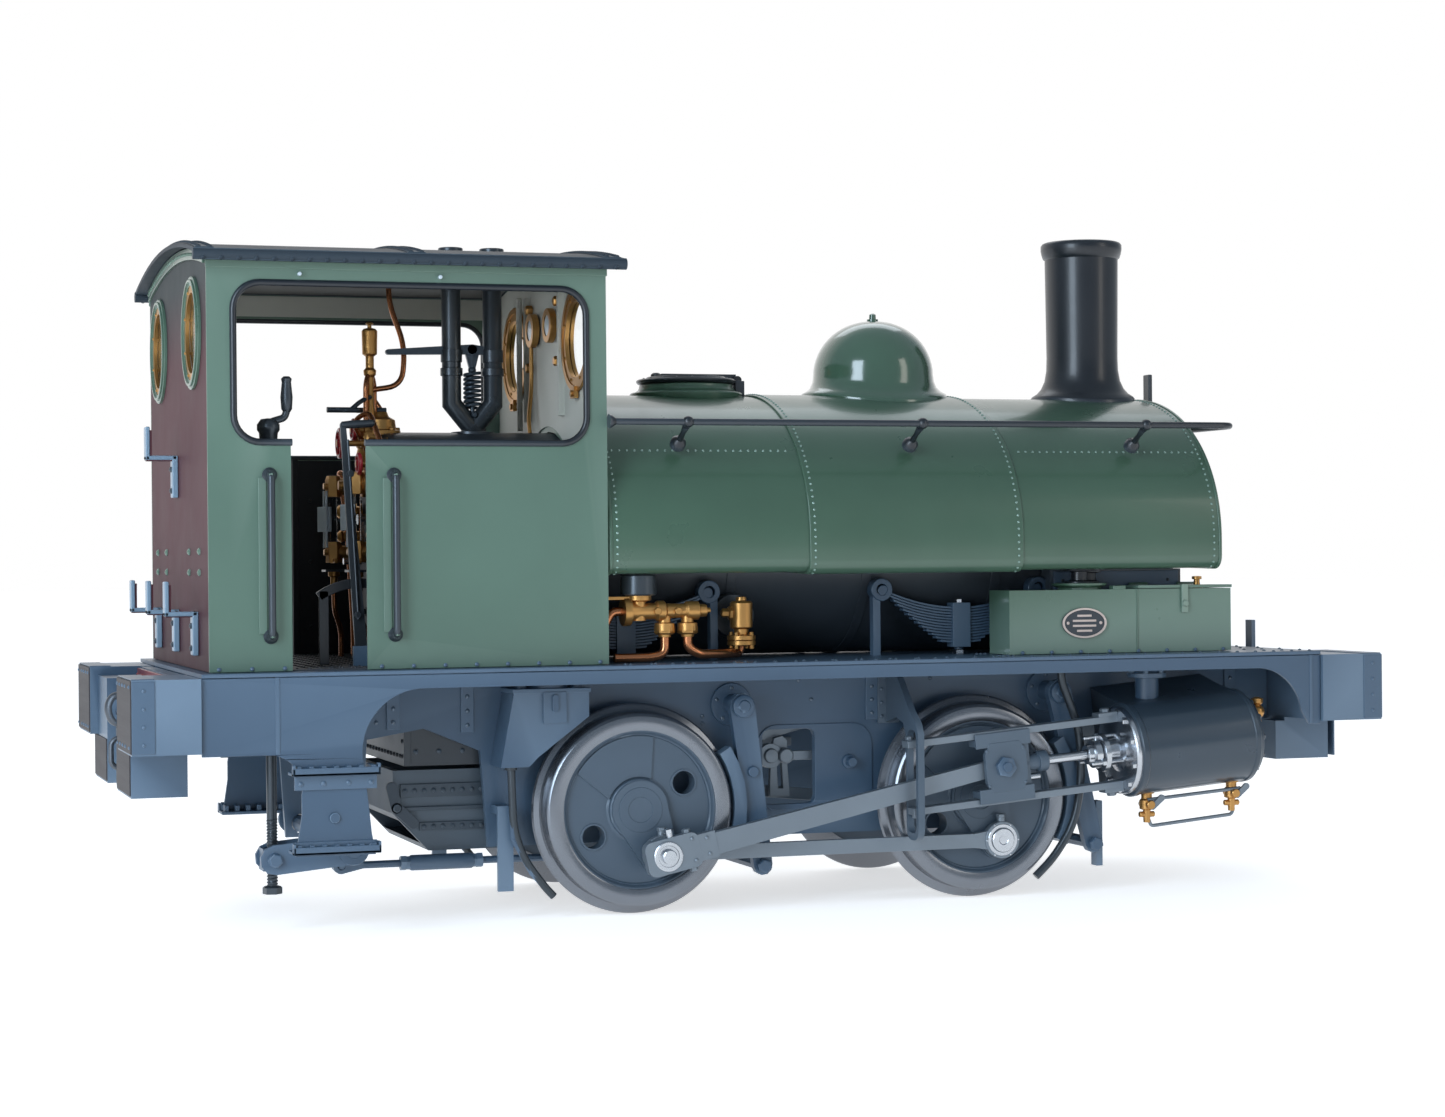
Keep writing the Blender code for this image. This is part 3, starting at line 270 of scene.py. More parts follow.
# Dark slate lightened over the whole cylinder: partly its own colour, partly painted highlight for the light
# along its top.
CLADDING_AND_HIGHLIGHT = surface("cylinder_slate_and_painted_highlight", (0.034, 0.052, 0.072), 0.30, metallic=0.2, coat=0.3)
LEVER_SLATE = surface("lever_slate", (0.050, 0.068, 0.088), 0.32, metallic=0.3)
ROOF_GREY = surface("roof_inside", (0.12, 0.12, 0.115), 0.6)
RING_CREAM = surface("plate_cream", (0.62, 0.50, 0.44), 0.45)
GLASS = glass("window_glass")
# Painted reflection: the rear sheet is green paint facing away from the key light, so its maroon, darkest low
# down and grey-green at the top, stands in for dark surroundings reflected in it.
REAR_SHEET_REFLECTION = sheet_paint("rear_sheet_painted_reflection", CAB_LOW.z, ROOF_HIGH.z, [
    (0.0, (0.060, 0.024, 0.030)), (0.35, (0.085, 0.034, 0.040)), (0.72, (0.090, 0.038, 0.044)),
    (0.90, (0.040, 0.048, 0.050))], 0.5)


# --- shapes, as bmeshes in millimetres -------------------------------------------------------------

def prism(outline, axis, low, high):
    """An outline in the plane across an axis, run along it: points are (y, z), (x, z) or (x, y)."""
    low, high = sorted((low, high))
    place = {
        "X": lambda a, b, along: (along, a, b),
        "Y": lambda a, b, along: (a, along, b),
        "Z": lambda a, b, along: (a, b, along),
    }[axis]
    bm = bmesh.new()
    start = [bm.verts.new(place(a, b, low)) for a, b in outline]
    end = [bm.verts.new(place(a, b, high)) for a, b in outline]
    bm.faces.new(start)
    bm.faces.new(list(reversed(end)))
    for i in range(len(outline)):
        j = (i + 1) % len(outline)
        bm.faces.new((start[i], end[i], end[j], start[j]))
    bmesh.ops.recalc_face_normals(bm, faces=bm.faces)
    return bm


def panel(outline, holes, axis, low, high):
    """A flat sheet with holes, filled as a 2-D curve and then stood across an axis."""
    curve = bpy.data.curves.new("panel", "CURVE")
    curve.dimensions = "2D"
    curve.fill_mode = "BOTH"
    curve.extrude = abs(high - low) / 2
    for loop in (outline, *holes):
        spline = curve.splines.new("POLY")
        spline.points.add(len(loop) - 1)
        spline.use_cyclic_u = True
        for point, (a, b) in zip(spline.points, loop):
            point.co = (a, b, 0, 1)
    shown = bpy.data.objects.new("panel", curve)
    mesh = bpy.data.meshes.new_from_object(shown)
    bm = bmesh.new()
    bm.from_mesh(mesh)
    bpy.data.objects.remove(shown)
    bpy.data.curves.remove(curve)
    bpy.data.meshes.remove(mesh)
    middle = (low + high) / 2
    for vert in bm.verts:
        a, b, along = vert.co
        along += middle
        vert.co = {"X": (along, a, b), "Y": (a, along, b), "Z": (a, b, along)}[axis]
    bmesh.ops.remove_doubles(bm, verts=bm.verts, dist=1e-3)
    bmesh.ops.recalc_face_normals(bm, faces=bm.faces)
    return bm


def block(x, y, z):
    """A box between two values along each axis, given in either order."""
    return prism([(x[0], z[0]), (x[1], z[0]), (x[1], z[1]), (x[0], z[1])], "Y", *y)


def turned(start, direction, profile, segments=48):
    """A turned shape: profile points are (along, radius), measured from start along direction."""
    axis = Vector(direction).normalized()
    across = axis.orthogonal().normalized()
    bm = bmesh.new()
    verts = [bm.verts.new(Vector(start) + axis * along + across * radius) for along, radius in profile]
    edges = [bm.edges.new((verts[i], verts[i + 1])) for i in range(len(verts) - 1)]
    bmesh.ops.spin(
        bm, geom=verts + edges, cent=start, axis=axis, angle=2 * math.pi, steps=segments, use_merge=True
    )
    bmesh.ops.remove_doubles(bm, verts=bm.verts, dist=1e-4)
    bmesh.ops.holes_fill(bm, edges=[edge for edge in bm.edges if edge.is_boundary])
    bmesh.ops.recalc_face_normals(bm, faces=bm.faces)
    return bm


def drum(start, direction, length, radius, segments=32, edge=0.25):
    """A cylinder with a small chamfer at both ends."""
    edge = min(edge, radius / 3, length / 3)
    profile = [(0, radius - edge), (edge, radius), (length - edge, radius), (length, radius - edge)]
    return turned(start, direction, profile, segments)


def ball(centre, radius, segments=20):
    """A sphere turned from a half circle."""
    steps = segments // 2
    angles = [math.pi * i / steps for i in range(steps + 1)]
    return turned(centre, UP, [(-radius * math.cos(a), radius * math.sin(a)) for a in angles], segments)


def nut(start, direction, length, radius):
    """A hexagon nut, chamfered at its outer end."""
    profile = [(0, radius), (length * 0.8, radius), (length, radius * 0.8)]
    return turned(start, direction, profile, 6)


def tube(points, radius, segments=14, closed=False):
    """A round rod or pipe through points."""
    path = [Vector(point) for point in points]
    bm = bmesh.new()
    rings = []
    reference = None
    count = len(path)
    for i, point in enumerate(path):
        before = (point - path[i - 1]).normalized() if i or closed else None
        after = (path[(i + 1) % count] - point).normalized() if i < count - 1 or closed else None
        tangent = (before + after).normalized() if before and after else (before or after)
        along = before or after
        if reference is None:
            reference = along.orthogonal().normalized()
        side = (reference - along * reference.dot(along)).normalized()
        up = along.cross(side)
        around_point = []
        for k in range(segments):
            angle = 2 * math.pi * k / segments
            offset = (side * math.cos(angle) + up * math.sin(angle)) * radius
            offset -= along * (offset.dot(tangent) / along.dot(tangent))
            around_point.append(bm.verts.new(point + offset))
        reference = side
        rings.append(around_point)
    pairs = list(zip(rings, rings[1:]))
    if closed:
        pairs.append((rings[-1], rings[0]))
    for first, second in pairs:
        for k in range(segments):
            n = (k + 1) % segments
            bm.faces.new((first[k], first[n], second[n], second[k]))
    if not closed:
        bm.faces.new(list(reversed(rings[0])))
        bm.faces.new(rings[-1])
    bmesh.ops.recalc_face_normals(bm, faces=bm.faces)
    return bm


def eased(points, reach, steps=6):
    """The points of a polyline with each inner corner eased into a curve that starts reach away."""
    path = [Vector(point) for point in points]
    out = [path[0]]
    for before, corner, after in zip(path, path[1:], path[2:]):
        size = min(reach, (corner - before).length * 0.48, (after - corner).length * 0.48)
        start = corner + (before - corner).normalized() * size
        end = corner + (after - corner).normalized() * size
        for i in range(steps + 1):
            t = i / steps
            out.append(start * (1 - t) ** 2 + corner * 2 * t * (1 - t) + end * t * t)
    return out + [path[-1]]


def pipe(points, radius, reach=6.0, segments=14):
    """A tube with eased bends."""
    return tube(eased(points, reach), radius, segments)


def arc(centre, radius, start_deg, end_deg, steps=12):
    """Points along an arc in a plane, from one angle to another."""
    turn = [math.radians(start_deg + (end_deg - start_deg) * i / steps) for i in range(steps + 1)]
    return [(centre[0] + radius * math.cos(a), centre[1] + radius * math.sin(a)) for a in turn]


def circle(centre, radius, count):
    """Points all the way round, without the first one again."""
    return arc(centre, radius, 0, 360, count)[:-1]


def ellipse(centre, half_width, half_height, count=60):
    """Points all the way round an ellipse, without the first one again."""
    return [(centre[0] + half_width * a, centre[1] + half_height * b) for a, b in circle((0, 0), 1.0, count)]


def around(centre, radius, count, start_deg=0.0, axis="X"):
    """Evenly spaced points round a centre, in the plane across an axis."""
    place = {"X": lambda a, b: (0, a, b), "Y": lambda a, b: (a, 0, b), "Z": lambda a, b: (a, b, 0)}[axis]
    turn = arc((0, 0), radius, start_deg, start_deg + 360, count)[:-1]
    return [Vector(centre) + Vector(place(a, b)) for a, b in turn]


def helix(start, radius, height, turns, steps):
    """Points of an upright coil that winds up from start."""
    x, y, z = start
    points = []
    for i in range(turns * steps + 1):
        angle = 2 * math.pi * i / steps
        points.append((x + radius * math.cos(angle), y + radius * math.sin(angle),
                       z + height * i / (turns * steps)))
    return points


def rounded(x, z, radius, steps=6):
    """A rectangle with round corners."""
    corners = ((x[1], z[0], -90), (x[1], z[1], 0), (x[0], z[1], 90), (x[0], z[0], 180))
    points = []
    for cx, cz, turn in corners:
        centre = (cx - math.copysign(radius, cx - sum(x) / 2), cz - math.copysign(radius, cz - sum(z) / 2))
        points += arc(centre, radius, turn, turn + 90, steps)
    return points


def link(first, second, radius_first, radius_second, y, steps=12):
    """A flat link in the X-Z plane with a round eye at each end, run along Y between two values."""
    way = math.degrees(math.atan2(second[1] - first[1], second[0] - first[0]))
    outline = arc(first, radius_first, way + 90, way + 270, steps)
    outline += arc(second, radius_second, way - 90, way + 90, steps)
    return prism(outline, "Y", *y)


def ring(start, direction, length, inner, outer, segments=48):
    """A flat ring with softened outer edges."""
    edge = min(0.3, (outer - inner) / 4, length / 4)
    profile = [(0, inner), (0, outer - edge), (edge, outer), (length - edge, outer), (length, outer - edge),
               (length, inner), (0, inner)]
    return turned(start, direction, profile, segments)


def rivets(spots, radius=0.5):
    """Domed rivet heads: each spot is a point and the way its head faces."""
    bm = bmesh.new()
    for point, facing in spots:
        axis = Vector(facing).normalized()
        side = axis.orthogonal().normalized()
        up = axis.cross(side)
        base = Vector(point) - axis * radius * 0.2
        spokes = [side * math.cos(math.pi * k / 4) + up * math.sin(math.pi * k / 4) for k in range(8)]
        rows = []
        for height, reach in ((0.0, 1.0), (0.55, 0.88), (0.85, 0.5)):
            middle = base + axis * height * radius
            rows.append([bm.verts.new(middle + spoke * reach * radius) for spoke in spokes])
        top = bm.verts.new(base + axis * radius)
        for low, high in zip(rows, rows[1:]):
            for k in range(8):
                bm.faces.new((low[k], low[(k + 1) % 8], high[(k + 1) % 8], high[k]))
        for k in range(8):
            bm.faces.new((rows[-1][k], rows[-1][(k + 1) % 8], top))
        bm.faces.new(list(reversed(rows[0])))
    bmesh.ops.recalc_face_normals(bm, faces=bm.faces)
    return bm


def row(start, end, pitch):
    """Evenly spaced points from start to end, about a pitch apart."""
    first, last = Vector(start), Vector(end)
    count = max(1, round((last - first).length / pitch))
    return [first.lerp(last, i / count) for i in range(count + 1)]


def heads(points, facing):
    """Pairs each point with the way its rivet head faces."""
    return [(point, facing) for point in points]


def on(side, low, high):
    """Two distances from the centre line, carried over to one side of the engine."""
    return (side * low, side * high)


def swung(bm, pivot, degrees):
    """Turns a shape drawn along +X about a point of the X-Z plane, towards +Z."""
    bmesh.ops.rotate(bm, verts=bm.verts, cent=Vector((pivot[0], 0, pivot[1])),
                     matrix=Matrix.Rotation(-math.radians(degrees), 3, "Y"))
    return bm


def tilted(shapes):
    """Turns shapes drawn along a level cylinder line up to the real, sloping one."""
    return [swung(bm, (REAR_X, AXLE_Z), SLOPE_DEG) for bm in shapes]


# --- pieces ----------------------------------------------------------------------------------------

def piece(name, body, look, shapes, bevel=0.0, angle=35, replaces=()):
    """One shown object made of several shapes, riding on a CAD body."""
    whole = bmesh.new()
    for bm in shapes:
        part = bpy.data.meshes.new("part")
        bm.to_mesh(part)
        bm.free()
        whole.from_mesh(part)
        bpy.data.meshes.remove(part)
    bmesh.ops.scale(whole, verts=whole.verts, vec=(0.001, 0.001, 0.001))
    mesh = bpy.data.meshes.new(name)
    whole.to_mesh(mesh)
    whole.free()
    mesh.materials.append(look)
    mesh.shade_smooth()
    mesh.set_sharp_from_angle(angle=math.radians(angle))
    obj = bpy.data.objects.new(name, mesh)
    bpy.context.scene.collection.objects.link(obj)
    if bevel:
        soften(obj, bevel)
    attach(obj, body)
    if replaces:
        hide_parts(*replaces)
    return obj


def soften(obj, width):
    """Rounds an object's sharp edges by a width in millimetres."""
    bevel = obj.modifiers.new("soften", "BEVEL")
    bevel.width = width / 1000
    bevel.segments = 2
    bevel.limit_method = "ANGLE"
    bevel.angle_limit = math.radians(38)
    bevel.harden_normals = True


def dress(node, look, bevel=0.0):
    """Gives a CAD node its finish and, where asked, softened edges."""
    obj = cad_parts[node]
    obj.data.materials.clear()
    obj.data.materials.append(look)
    if bevel:
        soften(obj, bevel)


# --- stage -----------------------------------------------------------------------------------------

def camera():
    """The photograph's viewing angle: from the right and a little behind, level with the boiler."""
    azimuth, elevation, roll = (math.radians(a) for a in (-18.35, 0.04, -0.51))
    back = Vector((math.sin(azimuth) * math.cos(elevation), -math.cos(azimuth) * math.cos(elevation),
                   math.sin(elevation)))
    right = Vector((math.cos(azimuth), math.sin(azimuth), 0))
    up = back.cross(right)
    x = right * math.cos(roll) + up * math.sin(roll)
    y = up * math.cos(roll) - right * math.sin(roll)
    data = bpy.data.cameras.new("camera")
    data.lens = 70.31
    data.clip_start = 0.05
    data.clip_end = 50
    made = bpy.data.objects.new("camera", data)
    place = Matrix.Translation((-0.4014, -1.2074, 0.1506))
    made.matrix_world = place @ Matrix((x, y, back)).transposed().to_4x4()
    bpy.context.scene.collection.objects.link(made)
    bpy.context.scene.camera = made


def lamp(name, place, target, size, power, colour):
    """A rectangular softbox aimed at a target."""
    data = bpy.data.lights.new(name, "AREA")
    data.shape = "RECTANGLE"
    data.size, data.size_y = size
    data.energy = power
    data.color = colour
    made = bpy.data.objects.new(name, data)
    made.location = place
    made.rotation_euler = (Vector(target) - Vector(place)).to_track_quat("-Z", "Y").to_euler()
    bpy.context.scene.collection.objects.link(made)


def studio():
    """A white room, darker behind the camera, with a cool softbox at the engine's rear right corner."""
    bm = bmesh.new()
    bmesh.ops.create_circle(bm, cap_ends=True, radius=14.0, segments=96)
    mesh = bpy.data.meshes.new("floor")
    bm.to_mesh(mesh)
    bm.free()
    floor = bpy.data.objects.new("floor", mesh)
    floor.location = (0, 0, -0.0002)
    pale = surface("pale_floor", (0.90, 0.90, 0.90), 0.8, tone=0.01, bump=0.01)
    pale.node_tree.nodes["Principled BSDF"].inputs["Emission Color"].default_value = (1.0, 1.0, 1.0, 1.0)
    pale.node_tree.nodes["Principled BSDF"].inputs["Emission Strength"].default_value = 0.62
    mesh.materials.append(pale)
    bpy.context.scene.collection.objects.link(floor)
    world = bpy.data.worlds.new("studio")
    bpy.context.scene.world = world
    world.use_nodes = True
    background = world.node_tree.nodes["Background"]
    background.inputs["Strength"].default_value = 1.0
    nodes, links = world.node_tree.nodes, world.node_tree.links
    coords = nodes.new("ShaderNodeTexCoord")
    split = nodes.new("ShaderNodeSeparateXYZ")
    across = nodes.new("ShaderNodeMapRange")
    across.inputs["From Min"].default_value = -1.0
    links.new(coords.outputs["Generated"], split.inputs["Vector"])
    links.new(split.outputs["Y"], across.inputs["Value"])
    fade = ramp(nodes, links, across.outputs["Result"], [
        (0.0, (0.26, 0.32, 0.39)), (0.66, (0.34, 0.40, 0.46)), (0.88, (1.0, 1.0, 1.0))])
    links.new(fade.outputs["Color"], background.inputs["Color"])
    lamp("key", (-0.90, -0.78, 0.48), (-0.14, 0, 0.13), (0.45, 0.8), 9.6, (0.72, 0.86, 1.0))
    lamp("rim", (0.3, 0.9, 1.3), (0, 0, 0.2), (1.2, 0.5), 2.5, (0.85, 0.93, 1.0))
    lamp("fill", (1.2, -1.3, 0.7), (0.1, 0, 0.12), (0.4, 0.9), 2.8, (1.0, 0.93, 0.84))
    bpy.context.scene.view_settings.view_transform = "Standard"


# --- cab -------------------------------------------------------------------------------------------

def roof_under(y):
    """Height of the roof's underside at a distance from the centre line."""
    return ROOF_CREST - 1.6 - y * y / (2 * ROOF_RADIUS)


def across_roof(half, steps=24):
    """Even steps from one side to the other."""
    return [half - 2 * half * i / steps for i in range(steps + 1)]


def cab_sides():
    """Each cab side: bead round the opening, rivets, handrails, strips, pegs and inner lining."""
    opening = rounded((-233.4, -88.9), (197.5, 260.8), 10.7, 8)
    for word, side in SIDES.items():
        face = side * CAB_FACE
        dress(f"cab_side_{word}", CAB_GREEN, 0.15)
        # The bead follows the opening and stops half a millimetre into the doorway at both ends.
        lower = [p for p in opening if p[1] < 197.6 and p[0] > DOOR[1]]
        loop = opening[opening.index(lower[0]):] + opening[:opening.index(lower[0])]
        path = [(DOOR[1] - 0.5, 197.5)] + loop + [(DOOR[0] + 0.5, 197.5)]
        bead = [tube([(x, face, z) for x, z in path], 1.4, 12)]
        piece(f"opening_bead_{word}", "chassis", BLACK, bead)
        feet = [x for x in range(-240, -82, 13) if not DOOR[0] - 2 < x < DOOR[1] + 2]
        spots = [((x, face, PLATE_Z + 1.4), (0, side, 0.7)) for x in feet]
        piece(f"cab_foot_rivets_{word}", "chassis", SLATE, [rivets(spots, 0.95)])
        rails, strips = [], []
        for x in (-219.5, -169.5):
            high, low = 184.5, 120.5
            path = [(x, face, high), (x, side * 94.2, high), (x, side * 94.2, low), (x, face, low)]
            rails.append(pipe(path, 1.5, 2.6))
            strips.append(block((x - 4.6, x - 1.4), on(side, 89.6, 90.6), (low + 1, high - 1)))
            for z in (high, low):
                rose = [(0, 3.0), (0.8, 3.0), (1.5, 2.2), (2.6, 1.8)]
                rails.append(turned((x, side * 89.7, z), (0, side, 0), rose, 20))
        piece(f"cab_handrails_{word}", "chassis", PIPE_BLACK, rails)
        piece(f"handrail_strips_{word}", "chassis", CAB_GREEN, strips, 0.25)
        strip = [block((CAB_LOW.x - 0.4, CAB_HIGH.x + 0.4), on(side, 89.6, 90.7), (266.4, 269.8))]
        piece(f"eave_strip_{word}", "chassis", CAB_GREEN, strip, 0.25)
        hooks = [drum((x, side * 89.6, 264.4), (0, side, 0), 2.4, 0.8, 12) for x in (-207.0, -150.0)]
        piece(f"sheet_pegs_{word}", "chassis", WHITE_METAL, hooks)
        # The lower inner lining is a black sheet of painted shade, where the inside of the cab lies in
        # shadow.
        lining = [
            block((CAB_LOW.x + 1.6, DOOR[0] - 1), on(side, 88.0, 88.5), (PLATE_Z + 1, 196.4)),
            block((DOOR[1] + 1, CAB_HIGH.x - 1.8), on(side, 88.0, 88.5), (PLATE_Z + 1, 196.4)),
            block((DOOR[0] - 3.0, DOOR[0] - 0.4), on(side, 86.4, 88.5), (PLATE_Z + 1, 197.0)),
            block((DOOR[1] + 0.4, DOOR[1] + 3.0), on(side, 86.4, 88.5), (PLATE_Z + 1, 197.0)),
        ]
        piece(f"side_lining_{word}", "chassis", SOOT_AND_SHADE, lining, 0.15)
        top = [block((CAB_LOW.x + 1.6, CAB_HIGH.x - 1.8), on(side, 88.0, 88.5),
                     (262.6, roof_under(88.4) - 1))]
        piece(f"side_lining_top_{word}", "chassis", CREAM, top, 0.1)
        columns = (-232, -222, -172, -160, -140, -120, -100)
        bolts = heads([(x, side * 88.0, z) for x in columns for z in (120.0, 150.0, 178.0)], (0, -side, 0))
        piece(f"side_lining_bolts_{word}", "chassis", PIPE_BLACK, [rivets(bolts, 1.0)])


def cab_ends():
    """Front and rear sheets: window frames and glass, linings, gauges, roof angles and lamp irons."""
    # The rear sheet's colour is painted reflection, darker low down and grey-green at the top.
    dress("cab_rear", REAR_SHEET_REFLECTION, 0.12)
    dress("cab_front", CAB_GREEN, 0.12)
    rear, front = CAB_LOW.x, CAB_HIGH.x
    half = 86.5
    for word, side in SIDES.items():
        y = side * WINDOW_Y
        green = [ring((rear - 1.4, y, WINDOW_Z), AHEAD, 1.6, 19.2, 23.0)]
        green.append(ring((rear - 2.2, y, WINDOW_Z), AHEAD, 1.0, 20.6, 21.8))
        piece(f"rear_window_rim_{word}", "chassis", GREEN, green)
        for place, name in ((rear - 1.0, "rear"), (front - 3.0, "front"), (rear + 1.6, "rear_in")):
            middle = (place, y, WINDOW_Z)
            brass = [ring(middle, AHEAD, 1.8, 16.4, 19.8)]
            brass.append(rivets(heads(around(middle, 18.1, 8, 22), BEHIND), 0.8))
            if name == "front":
                brass.append(ring((place - 0.4, y, WINDOW_Z), AHEAD, 1.2, 19.6, 22.4))
                brass.append(block((place - 1.6, place + 0.4), (y - 3, y + 3),
                                   (WINDOW_Z - 25, WINDOW_Z - 20)))
                brass.append(drum((place - 2.4, y, WINDOW_Z - 23), AHEAD, 2.4, 1.4, 16))
            piece(f"{name}_window_frame_{word}", "chassis", BRASS, brass)
        panes = [drum((x, y, WINDOW_Z), AHEAD, 0.6, 17.0, 48) for x in (rear + 0.3, front - 0.9)]
        piece(f"window_panes_{word}", "chassis", GLASS, panes)
        spots = heads(around((front + 1.2, y, WINDOW_Z), 20.6, 12), AHEAD)
        rim = [ring((front - 0.2, y, WINDOW_Z), AHEAD, 1.5, 17.0, 22.0), rivets(spots, 0.7)]
        piece(f"front_window_rim_{word}", "chassis", BRASS, rim)

    top = [(y, roof_under(y) - 1.4) for y in across_roof(half)]
    arch = arc((0, BOILER_Z), 52.5, 0, 180, 32)
    outline = [(-half, PLATE_Z + 2), (-54.5, PLATE_Z + 2), (-54.5, 148)] + list(reversed(arch))[1:-1]
    outline += [(54.5, 148), (54.5, PLATE_Z + 2), (half, PLATE_Z + 2)] + top
    holes = [circle((side * WINDOW_Y, WINDOW_Z), WINDOW_R + 0.4, 48) for side in SIDES.values()]
    piece("front_lining", "chassis", CREAM, [panel(outline, holes, "X", front - 1.9, front - 1.35)])
    ribs = [block((front - 4.4, front - 1.8), (y - 1.4, y + 1.4), (212, 268)) for y in (-29, 29)]
    ribs.append(drum((front - 6, 31.5, 208), UP, 60, 1.3, 16))
    piece("front_ribs", "chassis", CREAM, ribs, 0.4)
    dials = [ring((front - 6, y, 252), AHEAD, 3, 4.6, 7.6) for y in (-16, 14)]
    dials += [nut((front - 2, y, z), BEHIND, 3, 2.2) for y in (24, -24) for z in (262, 236)]
    feed = [(front - 5, 14, 245), (front - 5, 14, 226), (front - 8, 8, 212), (front - 8, 6, 206)]
    dials.append(pipe(feed, 0.9))
    piece("gauges", "chassis", BRASS, dials)
    faces = [drum((front - 5.6, y, 252), AHEAD, 1, 5.0, 32) for y in (-16, 14)]
    piece("gauge_faces", "chassis", WHITE_METAL, faces)

    outline = [(-half, PLATE_Z + 2), (half, PLATE_Z + 2)] + top
    piece("rear_lining", "chassis", CREAM, [panel(outline, holes, "X", rear + 1.3, rear + 1.7)])
    edge = [(y, roof_under(y) - 0.4) for y in across_roof(87)]
    edge += [(y, roof_under(y) - 5.0) for y in reversed(across_roof(87))]
    flanges = [prism(edge, "X", rear - 1.2, rear + 0.2), prism(edge, "X", front - 0.2, front + 1.2)]
    piece("roof_angles", "chassis", GREEN, flanges, 0.25)
    spots = []
    for i in range(41):
        y = 84 - 168 * i / 40
        spots.append(((rear - 1.2, y, roof_under(y) - 2.8), BEHIND))
        spots.append(((front + 1.2, y, roof_under(y) - 2.8), AHEAD))
    piece("roof_angle_rivets", "chassis", GREEN, [rivets(spots, 0.8)])
    studs = heads([(rear, y, z) for y in (-66, -36, 36, 66) for z in (146.0, 154.5)], BEHIND)
    piece("rear_sheet_studs", "chassis", GREEN, [rivets(studs, 1.6)])
    # Lamp irons: a foot plate with two bolts, a shelf and an upright.
    irons, bolts = [], []
    for y, z in ((0, 186.0), (-58, 121.0), (0, 121.0), (58, 121.0)):
        irons.append(block((rear - 2.6, rear - 0.1), (y - 3.4, y + 3.4), (z - 8.5, z + 9.3)))
        irons.append(block((rear - 13.6, rear - 0.4), (y - 3.4, y + 3.4), (z + 7.4, z + 9.3)))
        irons.append(block((rear - 13.6, rear - 11.8), (y - 3.4, y + 3.4), (z + 7.4, z + 21.5)))
        bolts += heads([(rear - 2.6, y, z - 5.5), (rear - 2.6, y, z + 3.5)], BEHIND)
    piece("lamp_irons", "chassis", LAMP_BLUE, irons, 0.5)
    piece("lamp_iron_bolts", "chassis", BLACK, [rivets(bolts, 1.3)])


def cab_top():
    """The roof's round eaves, three riveted straps, safety valve outlets, lining and vent."""
    dress("cab_roof", ROOF_BLACK, 0.3)
    shapes, spots = [], []
    for x in (ROOF_LOW.x + 4.5, (ROOF_LOW.x + ROOF_HIGH.x) / 2 + 1, ROOF_HIGH.x - 5.5):
        band = [(y, roof_under(y) + 2.1) for y in across_roof(96)]
        band += [(y, roof_under(y) + 1.5) for y in reversed(across_roof(96))]
        shapes.append(prism(band, "X", x - 3.6, x + 3.6))
        for i in range(65):
            y = 95 - 190 * i / 64
            for dx in (-2.2, 2.2):
                spots.append(((x + dx, y, roof_under(y) + 2.1), (0, y / ROOF_RADIUS, 1)))
    for side in SIDES.values():
        y = side * (ROOF_HIGH.y - 1.3)
        shapes.append(tube([(ROOF_LOW.x - 0.2, y, 270.9), (ROOF_HIGH.x + 0.2, y, 270.9)], 2.3, 20))
        spots += [((x, y + side * 1.7, 269.3), (0, side, -0.8)) for x in range(-246, -74, 7)]
    for x in SAFETY_X:
        shapes.append(ring((x, 0, ROOF_CREST - 0.2), UP, 2.2, 4.3, 6.2))
    piece("roof_straps", "chassis", ROOF_BLACK, shapes)
    piece("roof_rivets", "chassis", ROOF_BLACK, [rivets(spots, 1.05)])
    under = [(y, roof_under(y) - 0.15) for y in across_roof(86)]
    under += [(y, roof_under(y) - 0.55) for y in reversed(across_roof(86))]
    piece("roof_lining", "chassis", ROOF_GREY, [prism(under, "X", CAB_LOW.x + 2, CAB_HIGH.x - 2.2)])
    vent = [block((-190, -150), (-18, 18), (274.4, 277.6))]
    vent += [block((-188 + 6 * k, -185 + 6 * k), (-16, 16), (273.6, 275.0)) for k in range(6)]
    piece("roof_vent", "chassis", SOOT_AND_SHADE, vent, 0.2)


def cab_floor():
    """The studded floor, cut round the boiler, the brake column and the reversing lever."""
    dress("running_plate", SLATE, 0.2)
    rear, front = CAB_LOW.x + 1.6, CAB_HIGH.x - 1.9
    sheet = [(rear, -88.2), (front, -88.2), (front, 88.2), (rear, 88.2)]
    boiler_hole = [(-158.0, -47.5), (-78, -47.5), (-78, 47.5), (-158.0, 47.5)]
    lever_hole = [(-182.4, -62.4), (-171.8, -62.4), (-171.8, -54.6), (-182.4, -54.6)]
    holes = [boiler_hole, circle(BRAKE_COLUMN, 9.6, 24), lever_hole]
    deck = panel(sheet, holes, "Z", PLATE_Z + 0.02, PLATE_Z + 0.7)
    treads = []
    for i in range(17):
        for k in range(27):
            x, y = CAB_LOW.x + 4 + i * 4.6, -84 + k * 6.4 + (i % 2) * 3.2
            if not (-228 < x < -204 and -77 < y < -55) and not (-185 < x < -169 and -65 < y < -52):
                treads.append(((x, y, PLATE_Z + 0.7), UP))
    piece("cab_deck", "chassis", DECK, [deck])
    piece("cab_deck_studs", "chassis", DECK, [rivets(treads, 0.7)])


# --- tank, boiler and smokebox ---------------------------------------------------------------------

